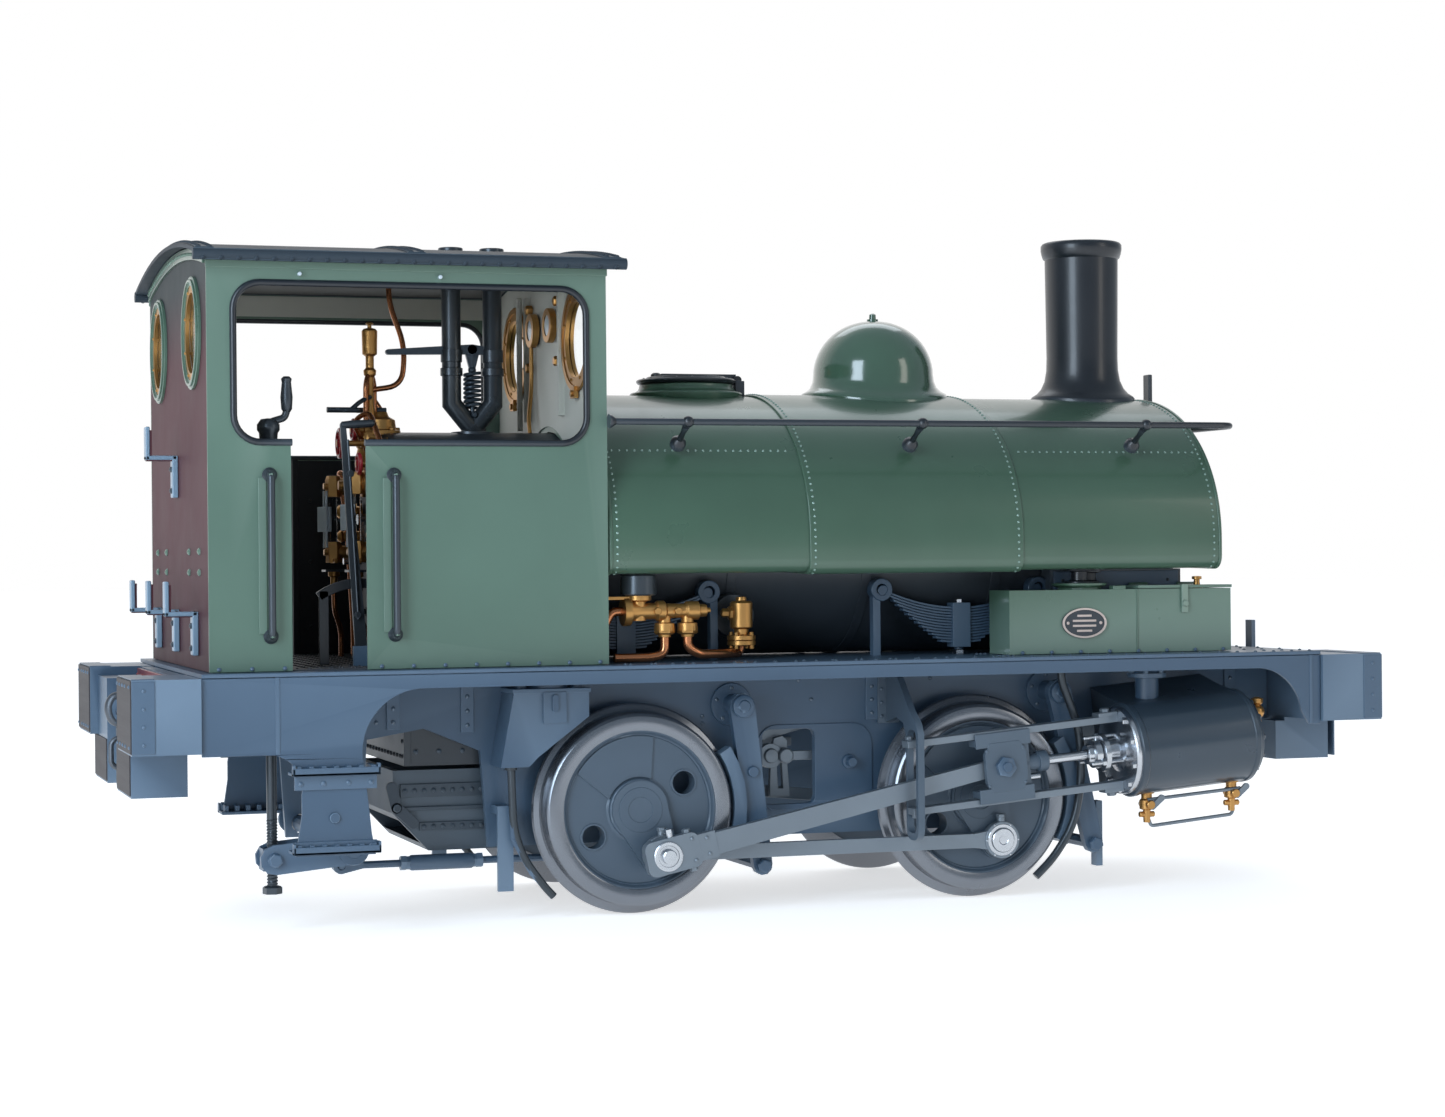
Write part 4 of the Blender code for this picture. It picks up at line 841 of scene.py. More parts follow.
def tank_section(grow=0.0, steps=96):
    """The tank's outside from the left foot over the crest to the right foot, as (y, z) points."""
    half = TANK_HALF + grow
    rise = TANK_TOP - TANK_WAIST + grow
    turn = 6.0
    points = arc((half - turn, TANK_BOTTOM + turn - grow), turn, -90, 0, 8)
    for i in range(steps + 1):
        angle = math.pi * i / steps
        c, s = math.cos(angle), math.sin(angle)
        points.append((half * math.copysign(abs(c) ** (2 / TANK_POWER), c),
                       TANK_WAIST + rise * abs(s) ** (2 / TANK_POWER)))
    return points + arc((-half + turn, TANK_BOTTOM + turn - grow), turn, 180, 270, 8)


def tank_height(y, grow=0.0):
    """How high the tank's skin is at a distance from the centre line."""
    share = min(1.0, abs(y) / (TANK_HALF + grow))
    return TANK_WAIST + (TANK_TOP - TANK_WAIST + grow) * (1 - share ** TANK_POWER) ** (1 / TANK_POWER)


def along_section(pitch, grow=0.0):
    """Points and outward directions at an even pitch round the tank's outside."""
    points = [Vector(p) for p in tank_section(grow, 200)]
    spots = []
    carried = 0.0
    for first, second in zip(points, points[1:]):
        step = second - first
        while carried <= step.length and step.length > 1e-6:
            at = first + step * (carried / step.length)
            spots.append((at, Vector((step.y, -step.x)).normalized()))
            carried += pitch
        carried -= step.length
    return spots


def tank():
    """The saddle tank: three courses, the middle one lapped over its neighbours, with a filler neck."""
    tunnel = [(-51.1, TANK_BOTTOM)] + list(reversed(arc((0, BOILER_Z), 51.1, 0, 180, 40)))
    tunnel += [(51.1, TANK_BOTTOM)]
    shapes = []
    for x, grow in (((TANK_REAR, LAPS[0] + 1), 0.0), (LAPS, 0.9), ((LAPS[1] - 1, TANK_FRONT), 0.0)):
        shapes.append(prism(tank_section(grow) + tunnel, "X", *x))
    for x, size in ((TANK_FRONT - 1.4, 0.5), (TANK_REAR + 0.4, 0.5)):
        shapes.append(prism(tank_section(size) + tunnel, "X", x, x + 1.6))
    neck = [(-6, 17.6), (-6, 22.0), (-1.4, 24.8), (0, 25.2), (0.6, 25.4), (1.4, 25.2), (1.8, 23.4),
            (2.6, 21.8), (3.6, 21.2), (5.2, 21.0), (5.2, 17.6), (-6, 17.6)]
    shapes.append(turned((FILLER_X, 0, TANK_TOP), UP, neck, 64))
    piece("tank_shell", "chassis", GREEN, shapes, 0.55, 28, ("saddle_tank",))
    end = TANK_FRONT
    iron = [block((end, end + 1.8), (-3, 3), (206, 220)), block((end, end + 10.4), (-3, 3), (218, 219.8)),
            block((end + 8.4, end + 10.4), (-3, 3), (218, 235))]
    piece("tank_lamp_iron", "chassis", BLACK, iron, 0.5)
    spots = []
    for x, grow in ((LAPS[0] + 2.4, 0.9), (LAPS[1] - 2.4, 0.9), (TANK_FRONT - 3.6, 0.0),
                    (TANK_REAR + 4.0, 0.0)):
        spots += [((x, at.x, at.y), (0, way.x, way.y)) for at, way in along_section(2.9, grow)]
    seam = next(at for at, way in along_section(0.5) if at.y > 195)
    for side in SIDES.values():
        for start, stop in ((TANK_REAR + 6, LAPS[0] - 5), (LAPS[1] + 5, TANK_FRONT - 6)):
            line = row((start, side * seam.x, seam.y), (stop, side * seam.x, seam.y), 3.4)
            spots += heads(line, (0, side, 0.6))
    spots += heads(around((FILLER_X, 0, TANK_TOP + 1.2), 23.6, 20, axis="Z"), UP)
    piece("tank_rivets", "chassis", GREEN_STUD_HIGHLIGHT, [rivets(spots, 0.62)])
    face = [((end + 0.3, at.x * 0.965, TANK_WAIST + (at.y - TANK_WAIST) * 0.955), AHEAD)
            for at, way in along_section(3.4) if at.y > TANK_BOTTOM + 4]
    piece("tank_front_rivets", "chassis", GREEN_STUD_HIGHLIGHT, [rivets(face, 0.62)])


def saddled(bm, grow=0.0, top=10.0):
    """Drapes the foot of a turned shape over the tank: points near its base follow the tank's crown."""
    for vert in bm.verts:
        above = vert.co.z - TANK_TOP
        if above < top:
            share = 1 - max(0.0, above) / top
            vert.co.z += (tank_height(vert.co.y, grow) - TANK_TOP) * share
    return bm


def on_tank():
    """The dome and the chimney, flared onto the tank's crown, and the hinged filler lid."""
    profile = [(-0.6, 0.5), (-0.6, 33.6), (0.5, 33.8), (1.4, 33.2), (2.4, 31.2), (4.2, 29.2), (7.0, 28.0),
               (10.0, 27.6)]
    profile += [(10 + 25.4 * math.sin(math.radians(a)), 27.6 * math.cos(math.radians(a)) ** 0.94)
                for a in range(6, 90, 6)]
    profile += [(35.4, 2.6), (36.2, 2.6), (36.4, 1.6), (38.4, 1.5), (38.9, 0.8)]
    dome = saddled(turned((DOME_X, 0, TANK_TOP), UP, profile, 96), 0.9, 14.0)
    piece("dome_casing", "chassis", DOME_GREEN, [dome], 0, 50, ("steam_dome",))

    profile = [(-0.6, 12.8), (-0.6, 24.2), (0.9, 24.4), (1.9, 23.6), (3.2, 21.4), (5.4, 19.4), (9.0, 17.7),
               (14, 16.8), (20, 16.6), (66, 17.1), (66.6, 17.9), (68.4, 18.5), (70.5, 18.9), (72.6, 18.9),
               (73.6, 18.2), (74.0, 17.2), (74.0, 15.0), (70, 13.2), (-0.6, 12.8)]
    stack = saddled(turned((CHIMNEY_X, 0, TANK_TOP), UP, profile, 96), 0.0, 16.0)
    foot = around((CHIMNEY_X, 0, 0), 23.0, 28, axis="Z")
    spots = [((at.x, at.y, tank_height(at.y) + 1.6), (0, at.y / 90, 1)) for at in foot]
    piece("chimney_casing", "chassis", BLACK, [stack], 0, 50, ("chimney",))
    piece("chimney_rivets", "chassis", BLACK, [rivets(spots, 0.75)])

    base = TANK_TOP + 5.5
    lid = [(0.0, 0.5), (0.0, 21.6), (0.8, 22.3), (1.4, 22.4), (2.0, 21.8), (2.2, 18.5), (3.2, 17.5),
           (3.7, 8), (3.9, 0.5)]
    shapes = [turned((FILLER_X, 0, base), UP, lid, 72)]
    shapes.append(block((FILLER_X - 12, FILLER_X + 23), (-2.4, 2.4), (base + 2.2, base + 4.6)))
    shapes.append(drum((FILLER_X + 23.0, -5, base + 1.9), ACROSS, 10, 1.9, 24))
    shapes.append(turned((FILLER_X - 14, 0, base + 2.6), UP, [(0, 2.4), (1.6, 2.4), (2.4, 1.4)], 20))
    spots = [((FILLER_X + 19.8 * math.cos(0.35 * k), 19.8 * math.sin(0.35 * k), base + 2.2), UP)
             for k in range(18)]
    shapes.append(rivets(spots, 0.6))
    piece("filler_cover", "filler_lid", BLACK, shapes, 0.25, 35, ("filler_lid",))
    lugs = [block((FILLER_X + 20.8, FILLER_X + 25.2), (y - 1.2, y + 1.2), (TANK_TOP - 1, base + 1.4))
            for y in (-6.6, 6.6)]
    piece("filler_hinge_lugs", "chassis", BLACK, lugs, 0.4)


def handrail():
    """The rail round the tank, carried on ball stanchions."""
    y, z = 92.4, 206.6
    front = TANK_FRONT + 5.5
    route = [(CAB_HIGH.x + 0.4, -y, z), (front, -y, z), (front, y, z), (CAB_HIGH.x + 0.4, y, z)]
    shapes = [tube(eased(route, 9.0, 10), 1.45, 18)]
    for side in SIDES.values():
        for x in (-46.0, 58.9, 164.6):
            foot = Vector((x, side * 79.0, z - 7.8))
            head = Vector((x, side * y, z))
            out = (head - foot).normalized()
            shapes.append(ball(head, 2.5))
            stem = [(-2.5, 3.4), (0, 3.3), (1.0, 2.6), (2.2, 1.4), (7.0, 1.1), (12.0, 1.6)]
            shapes.append(turned(foot, out, stem, 20))
        flange = [(0, 3.0), (1.0, 2.8), (2.2, 2.0), (3.0, 1.5)]
        shapes.append(turned((CAB_HIGH.x, side * y, z), AHEAD, flange, 20))
    piece("tank_rail", "chassis", BLACK, shapes, 0, 40, ("tank_handrail",))


def boiler():
    """Firebox wrapper with its firehole, lagged barrel with bands, and the backhead's rivets."""
    wrapper = arc((0, BOILER_Z), BOILER_R, 0, 180, 48) + [(-45, 140), (-45, 64), (45, 64), (45, 140)]
    rear = BOILER_LOW.x
    hole = circle((0, 128), 13, 40)
    shapes = [panel(wrapper, [hole], "X", rear, rear + 3), prism(wrapper, "X", rear + 3, -76.5)]
    barrel = [(0, 0.5), (0, BOILER_R), (211, BOILER_R), (211, 0.5)]
    shapes.append(turned((-77, 0, BOILER_Z), AHEAD, barrel, 96))
    for x in (-70.0, -12.6, 50.0, 112.0):
        shapes.append(ring((x - 2.2, 0, BOILER_Z), AHEAD, 4.4, BOILER_R - 0.4, BOILER_R + 0.4, 96))
    piece("boiler_cladding", "chassis", BOILER_BLACK_FILL, shapes, 0.3, 35, ("boiler",))
    flange = [ring((rear - 0.6, 0, 128), AHEAD, 1.0, 13, 17.5)]
    spots = []
    for k in range(15):
        a = math.radians(180 * k / 14)
        spots.append(((rear, 46.5 * math.cos(a), BOILER_Z + 46.5 * math.sin(a)), BEHIND))
    for side in SIDES.values():
        spots += heads(row((rear, side * 42, 150), (rear, side * 42, 68), 6.4), BEHIND)
    spots += heads(row((rear, -38, 68), (rear, 38, 68), 6.4), BEHIND)
    flange.append(rivets(spots, 1.0))
    piece("backhead_rivets", "chassis", SOOT_AND_SHADE, flange)


def smokebox():
    """The smokebox's side panels and rivets, its dished door with straps, and the dart's handles."""
    dress("smokebox", BLACK, 0.25)
    dress("smokebox_door", BLACK)
    front = SMOKE_HIGH.x
    shapes, spots = [], []
    for side in SIDES.values():
        y = side * 57
        face = on(side, 56.8, 57.9)
        shapes.append(block((SMOKE_LOW.x + 1.5, SMOKE_HIGH.x - 1.5), face, (PLATE_Z + 1, 142.6)))
        cover = rounded((160.0, 182.0), (124.0, 134.5), 5.0)
        shapes.append(prism(cover, "Y", *on(side, 57.6, 59.2)))
        spots += [((x, side * 57.9, z), (0, side, 0)) for x in (140, 192) for z in (138.5, 112.0)]
        spots += heads(row((140, side * 57.9, 112), (192, side * 57.9, 112), 8.6), (0, side, 0))
    piece("smokebox_saddle_panels", "chassis", SLATE, shapes, 0.3)
    ring_shape = [ring((front - 0.6, 0, BOILER_Z), AHEAD, 1.4, 38.5, BOILER_R + 0.9, 96)]
    spots += heads(around((front + 0.7, 0, BOILER_Z), 46.5, 40), AHEAD)
    for k in range(4):
        spots += [((front + 0.2, y, PLATE_Z + 8 + 8 * k), AHEAD) for y in (-52, 52)]
    piece("smokebox_ring", "chassis", BLACK, ring_shape)
    piece("smokebox_rivets", "chassis", BLACK, [rivets(spots, 0.85)])

    dish = [(0, 0.5), (0, 39.4), (0.6, 40.2), (1.4, 40.2), (1.8, 39.2), (2.6, 36.0), (4.2, 28.0), (5.6, 19.0),
            (6.5, 9.0), (6.8, 0.5)]
    face = front + 0.5
    door = [turned((face, 0, BOILER_Z), AHEAD, dish, 96)]
    for z in (BOILER_Z + 16, BOILER_Z - 16):
        strap = [(-24, z - 1.8), (0, z - 2.6), (43, z - 2.8), (43, z + 2.8), (0, z + 2.6), (-24, z + 1.8)]
        door.append(prism(strap, "X", face + 3.0, face + 6.0))
        door.append(drum((face + 2.6, 44.5, z - 4), UP, 8, 2.5, 24))
        door.append(rivets([((face + 6, y, z), AHEAD) for y in (-18, -4, 10, 24, 36)], 1.1))
    piece("smokebox_door_skin", "smokebox_door", BLACK, door, 0.3, 40, ("smokebox_door",))
    boss = [(0, 5.2), (1.4, 5.2), (2.0, 4.4), (2.0, 3.2), (4.2, 3.0), (4.2, 2.4), (13, 2.2), (13.6, 1.6)]
    hub = [turned((face + 6.2, 0, BOILER_Z), AHEAD, boss, 32)]
    for x, end in ((face + 9.6, Vector((face + 12.0, -7, BOILER_Z - 14))),
                   (face + 12.2, Vector((face + 14.4, 9, BOILER_Z - 12)))):
        hub.append(tube([(x, 0, BOILER_Z), end], 1.3, 16))
        hub.append(ball(end, 2.0))
    piece("dart_handles", "smokebox_dart", STEEL, hub)
    dress("smokebox_dart", STEEL)


def front_boxes():
    """On each side a sandbox with its filler and a toolbox with a hinged lid, screw, hasp and plain plate."""
    for word, side in SIDES.items():
        dress(f"sandbox_{word}", GREEN, 0.3)
        dress(f"toolbox_lid_{word}", GREEN, 0.25)
        y = side * 69
        neck = [(0, 9.0), (1.0, 9.0), (2.2, 12.2), (3.2, 12.4), (3.4, 10.8), (3.0, 9.6), (3.0, 3.4)]
        shapes = [turned((142.7, y, 134.2), UP, neck, 48)]
        shapes.append(block((165.2, 166.0), on(side, 58.2, 80.4), (PLATE_Z + 0.6, 134.8)))
        shapes.append(block((154.0, 160.0), on(side, 76, 80.2), (134.4, 136.2)))
        piece(f"sandbox_neck_{word}", "chassis", GREEN, shapes, 0.2)
        knob = [(0, 6.5), (1.2, 6.5), (1.6, 3.6), (5.6, 3.6), (6, 7.6), (6.6, 7.6)]
        stem = [turned((142.7, y, 137), UP, knob, 32)]
        piece(f"sandbox_cap_{word}", "chassis", BLACK, stem, 0.2)
        cap = [(0, 2.6), (1.4, 2.6), (1.6, 1.5), (4.0, 1.3), (4.2, 2.2), (5.4, 2.2), (5.6, 0.8)]
        brass = [turned((202.0, y - side * 2, 134.4), UP, cap, 20)]
        piece(f"toolbox_screw_{word}", "toolbox_lid_" + word, BRASS, brass)
        hasp = [block((187.2, 190.2), on(side, 79.8, 81.3), (124.0, 136.6)),
                nut((188.7, side * 81.2, 128), (0, side, 0), 1.0, 1.6)]
        piece(f"toolbox_hasp_{word}", "toolbox_lid_" + word, STUD_PALE, hasp, 0.2)
        hinges = [drum((x, side * 59.4, 136.2), AHEAD, 9, 1.2, 16) for x in (172, 196)]
        piece(f"toolbox_hinges_{word}", "chassis", GREEN, hinges)
        middle = (139.5, 120.0)
        oval, inner = ellipse(middle, 10.6, 6.6), ellipse(middle, 9.7, 5.8)
        piece(f"oval_plate_{word}", "chassis", BLACK, [prism(oval, "Y", *on(side, 80.0, 80.8))])
        rim = [panel(oval, [inner], "Y", *on(side, 80.6, 81.3))]
        rim.append(rivets([((x, side * 80.8, 120.0), (0, side, 0)) for x in (131.6, 147.4)], 0.8))
        bars = [block((middle[0] - w, middle[0] + w), on(side, 80.7, 81.05), (z - 0.45, z + 0.45))
                for w, z in ((3.4, 123.2), (5.6, 121.0), (5.6, 118.8), (3.6, 116.6))]
        piece(f"oval_plate_rim_{word}", "chassis", RING_CREAM, rim + bars)
        feet = [((x, side * 80.4, PLATE_Z + 1.0), (0, side, 0.6)) for x in range(110, 212, 14)]
        piece(f"box_foot_rivets_{word}", "chassis", SLATE, [rivets(feet, 0.9)])


# --- springs and platework -------------------------------------------------------------------------

def springs():
    """Each spring: shorter leaves stepped below a longest one, with eyes, hangers, buckle and axlebox."""
    leaves = 13
    for end, axle in (("rear", REAR_X), ("front", FRONT_X)):
        for word, side in SIDES.items():
            out = (0, side, 0)
            shapes = []
            for i in range(leaves):
                half = 36.5 - i * 2.25
                top = 127.4 - i * 1.25
                rise = 8.2 * (half / 36.5) ** 2
                upper = [(axle + half * t, top + rise * t * t) for t in (k / 10 for k in range(-10, 11))]
                lower = [(x, z - 1.0) for x, z in reversed(upper)]
                shapes.append(prism(upper + lower, "Y", *on(side, 46.8, 51.4)))
            for hand in (-1, 1):
                eye = (axle + hand * 37.0, 135.0)
                shapes.append(drum((eye[0], side * 46.6, eye[1]), out, 5.0, 2.4, 24))
                shapes.append(ring((eye[0] + hand * 0.6, side * 46.2, eye[1] + 0.4), out, 5.8, 2.6, 5.0, 40))
                stem = (eye[0] + hand * 1.2, eye[0] + hand * 4.6)
                shapes.append(block(stem, on(side, 46.8, 51.2), (PLATE_Z, eye[1] - 1.0)))
            piece(f"spring_leaves_{end}_{word}", "chassis", SLATE, shapes, 0.15, 35,
                  (f"spring_{end}_{word}",))
            buckle = [block((axle - 4.2, axle + 4.2), on(side, 45.4, 52.6), (109.6, 129.2))]
            buckle.append(drum((axle, side * 49.0, 98), UP, 12, 2.0, 16))
            box = [(axle - 9.6, 33.0), (axle + 9.6, 33.0), (axle + 9.6, 55.6), (axle - 9.6, 55.6)]
            buckle.append(panel(box, [circle((axle, AXLE_Z), 5.6, 32)], "Y", *on(side, 44.0, 53.4)))
            piece(f"spring_buckle_{end}_{word}", "chassis", SLATE, buckle, 0.5)
            top = [nut((axle, side * 49.0, 129.2), UP, 1.8, 2.0),
                   nut((axle, side * 49.0, 106.6), UP, 2.0, 3.0)]
            piece(f"spring_nuts_{end}_{word}", "chassis", STEEL, top)


def valance_outline():
    """The valance from the side: deep at both ends, arched over the wheels, a step plate hanging below."""
    outline = [(PLATE_LOW.x, 104.5), (PLATE_LOW.x, 74.0), (-228.0, 74.0)]
    outline += arc((-224.0, 58.0), 16.5, 75, 20, 10)
    outline += [(-209.4, 58.0), (-209.4, 50.0), (-210.6, 42.0), (-212.0, 33.6), (-180.0, 33.6),
                (-181.6, 42.0), (-182.6, 52.0)]
    outline += arc((-160.0, 74.0), 25.0, 185, 90, 20)
    outline += arc((214.5, 77.2), 22.0, 90, 8, 16)
    return outline + [(240.0, 74.0), (PLATE_HIGH.x, 74.0), (PLATE_HIGH.x, 104.5)]


def plate_edges():
    """Rivets along the running plate and its joints, and the valances with their lips and steps."""
    spots = []
    for side in SIDES.values():
        for x in range(-244, 246, 9):
            if not CAB_LOW.x - 3 < x < CAB_HIGH.x + 1:
                spots.append(((x, side * 96.6, PLATE_Z), UP))
        for x in range(-74, 100, 13):
            spots.append(((x, side * 92.5, PLATE_Z), UP))
        spots += [((x, side * y, PLATE_Z), UP) for x in (224, 233, 242) for y in (10, 30, 50, 70, 88)]
        spots += [((x, side * y, PLATE_Z), UP) for x in (101, 99, 97) for y in (90, 84, 60)]
    piece("plate_rivets", "chassis", STUD_SLATE, [rivets(spots, 0.9)])
    for word, side in SIDES.items():
        out = (0, side, 0)
        middle = (-196.5, side * 99.6, 48.6)
        sheet = [panel(valance_outline(), [], "Y", *on(side, 97.8, 99.6))]
        piece(f"valance_plate_{word}", "chassis", SLATE, sheet, 0.25, 35, (f"valance_{word}",))
        lip = [block((PLATE_LOW.x, PLATE_HIGH.x), on(side, 99.4, 100.0), (104.9, 106.3))]
        lip.append(block((-219.6, -217.8), on(side, 99.4, 99.9), (74.2, 104.6)))
        lip.append(block((240.2, 241.6), on(side, 99.4, 99.9), (74.4, 104.6)))
        piece(f"valance_lip_{word}", "chassis", SLATE, lip, 0.15)
        steps, bolts = [], []
        for z, band in ((34.5, 5.0), (65.5, -5.6)):
            tread = (-213.4, -178.6)
            steps.append(block(tread, on(side, 90.4, 103.6), (z, z + 1.2)))
            steps.append(block(tread, on(side, 102.6, 103.6), (z, z + 3.2)))
            steps += [block((x, x + turn), on(side, 99.6, 103.6), (z, z + 4.6))
                      for x, turn in ((tread[0], 1.0), (tread[1], -1.0))]
            steps.append(block((tread[0] + 1, tread[1] - 1), on(side, 99.2, 100.7), (z + band, z + 0.6)))
            for place in row((tread[0] + 2.5, 0, 0), (tread[1] - 2.5, 0, 0), 5.2):
                steps.append(block((place.x - 1.0, place.x + 1.0), on(side, 91.5, 102.8), (z + 1.0, z + 3.9)))
            bolts += heads([(x, side * 100.7, z + band * 0.55) for x in (-210, -201, -191, -182)], out)
        piece(f"step_treads_{word}", "chassis", SLATE, steps, 0.25)
        bolts.append((middle, out))
        piece(f"step_rivets_{word}", "chassis", SLATE, [rivets(bolts, 1.15)])
        centre = [drum(middle, out, 1.2, 2.1, 20)]
        piece(f"step_stud_{word}", "chassis", SLATE, centre, 0.2)


def buffer_beams():
    """Beam plates, the blocks' bindings, faces and bolts, and a hook with three links at each end."""
    for word, end, low, high in (("rear", -1, REAR_BEAM_LOW, REAR_BEAM_HIGH),
                                 ("front", 1, FRONT_BEAM_LOW, FRONT_BEAM_HIGH)):
        dress(f"{word}_buffer_beam", SLATE, 0.3)
        face = high.x if end > 0 else low.x
        inner = low.x if end > 0 else high.x
        plates, caps, bolts = [], [], []
        for side in SIDES.values():
            plates.append(block((face, face - end * 9.0), on(side, 100.9, 101.9), (76.0, 104.2)))
            plates.append(block((face, face - end * 9.0), on(side, 54.6, 101.0), (104.2, 105.1)))
            caps.append(block((face - end * 0.4, face + end * 0.5), on(side, 55.0, 101.4), (76.0, 104.4)))
            caps.append(block((face - end * 3.9, face - end * 3.0), on(side, 20.0, 66.0), (57.0, 75.0)))
            for z in (79.5, 86.5, 93.5, 100.5):
                bolts.append(((face - end * 4.6, side * 101.9, z), (0, side, 0)))
            for y in (58, 67, 76, 85, 98):
                bolts += [((face + end * 0.5, side * y, z), (end, 0, 0)) for z in (78.4, 102.0)]
        piece(f"{word}_block_bindings", "chassis", SLATE, plates, 0.25)
        # The rear faces get painted shade and reflection in dark brown; the front faces keep the slate paint.
        piece(f"{word}_block_faces", "chassis", REAR_FACE_SHADE if word == "rear" else SLATE, caps, 0.25)
        piece(f"{word}_block_bolts", "chassis", SLATE, [rivets(bolts, 0.8)])
        x = inner + end * 5.9
        beam = [block((x - end * 0.4, x + end * 0.7), (-53.4, 53.4), (77.0, 103.9))]
        beam.append(block((x, x + end * 1.6), (-10, 10), (79.6, 96.4)))
        spots = [((x + end * 0.7, y, z), (end, 0, 0)) for y in (-50, -34, -18, 18, 34, 50) for z in (80, 101)]
        spots += [((x + end * 1.6, y, z), (end, 0, 0)) for y in (-7.6, 7.6) for z in (82, 94)]
        beam.append(rivets(spots, 1.1))
        piece(f"{word}_beam_plate", "chassis", BEAM_RED, beam, 0.2)
        eye = (inner + end * 19.3, 88.0)
        hook = [(eye[0] - end * 14, 0, 88), (eye[0] - end * 6.2, 0, 88.6), (eye[0] - end * 3, 0, 93.4),
                (eye[0] + end * 3.4, 0, 94.0), (eye[0] + end * 5.4, 0, 89.4), (eye[0] + end * 3.6, 0, 83.8),
                (eye[0] - end * 0.6, 0, 83.2)]
        links = [tube(eased(hook, 3.0, 6), 2.3, 14)]
        for k in range(3):
            top = 84.0 - 8.6 * k
            loop = rounded((-3.6, 3.6), (top - 11.5, top + 1.0), 3.4)
            if k % 2:
                points = [(eye[0] + end * (1.0 + a), 0, b) for a, b in loop]
            else:
                points = [(eye[0] + end * 1.0, a, b) for a, b in loop]
            links.append(tube(points, 1.15, 10, closed=True))
        piece(f"{word}_hook_and_chain", "chassis", STEEL_DARK, links)


def frame_details():
    """Rivets, stiffeners, window rims, hanger bosses, sand hoppers and sand pipes on the main frames."""
    for word, side in SIDES.items():
        dress(f"main_frame_{word}", SLATE, 0.25)
        face = side * 52.0
        out = (0, side, 0)
        shapes, spots = [], []
        for x, low, high in ((-131.5, 78.0, 102.0), (50.0, 78.5, 102.0), (-163.0, 80.0, 103.0),
                             (226.0, 76.0, 103.0)):
            shapes.append(block((x - 2.8, x + 2.8), on(side, 51.8, 52.9), (low, high)))
            spots += heads(row((x, side * 52.9, low + 3), (x, side * 52.9, high - 3), 6.4), out)
        spots += [((x, face, z), out) for x, z in ((-170, 98), (-170, 93), (-170, 88), (-170, 83),
                                                   (16, 96.5), (30, 97.5), (22, 88.0), (-28, 79.0),
                                                   (-28, 82.0), (118, 78), (118, 81.5), (78, 96))]
        window = rounded((-0.9, 23.2), (42.9, 75.4), 3.0)
        frame_rim = rounded((-3.4, 50.0), (40.4, 77.4), 9.0)
        shapes.append(panel(frame_rim, [window], "Y", *on(side, 51.8, 52.7)))
        shapes.append(turned((39.0, face, 60.5), out, [(0, 3.4), (2.0, 3.2), (2.4, 2.2), (6.0, 2.0)], 24))
        for x, z in HANGER_PINS.values():
            shapes.append(turned((x, face, z), out, [(0, 9.4), (1.4, 9.2), (1.8, 4.4), (10.0, 4.0)], 40))
            cap = [(0, 4.9), (2.0, 4.9), (2.4, 4.3), (2.4, 2.6), (2.9, 2.4)]
            shapes.append(turned((x, side * 68.2, z), out, cap, 32))
            spots += heads(around((x, side * 53.4, z), 7.2, 5, 18, "Y"), out)
        piece(f"frame_stiffeners_{word}", "chassis", SLATE, shapes, 0.25)
        piece(f"frame_rivets_{word}", "chassis", STUD_SLATE, [rivets(spots, 1.0)])
        # The sand hopper's lid and latch, ahead of the step, and both sand pipes.
        hopper = [block((-117.0, -83.4), on(side, 51.4, 73.0), (94.6, 96.4)),
                  block((-104, -94), on(side, 71.8, 73.4), (82, 95))]
        lid = [(0, 8.5), (2, 8.5), (2.4, 7.0), (5.2, 7.0), (6.6, 6.0)]
        hopper.append(turned((-99.5, side * 63, 96.0), UP, lid, 32))
        hopper += [drum((x, side * 67, 96), UP, 7.2, 2.4, 20) for x in (-112, -88)]
        hopper.append(link((-99, 92.6), (-99, 88.0), 1.4, 1.4, on(side, 73.2, 74.4)))
        piece(f"sand_hopper_{word}", "chassis", SLATE, hopper, 0.3)
        route = [(-116.5, side * 66.8, 66), (-115.6, side * 66.8, 38), (-111, side * 66.8, 25),
                 (-102, side * 66.8, 13), (-98.6, side * 66.8, 9.4)]
        pipes = [tube(eased(route, 8.0), 1.65, 16), drum((-116.5, side * 66.8, 62.6), UP, 2.0, 2.6, 20)]
        front = [(131, side * 74, 101), (131.5, side * 74, 94), (140.5, side * 73.4, 72),
                 (141, side * 73.0, 48), (137, side * 72.8, 30), (127, side * 72.4, 16),
                 (119.0, side * 72.0, 8.6)]
        pipes.append(tube(eased(front, 10.0), 1.8, 16))
        piece(f"sand_pipes_{word}", "chassis", PIPE_BLACK, pipes)


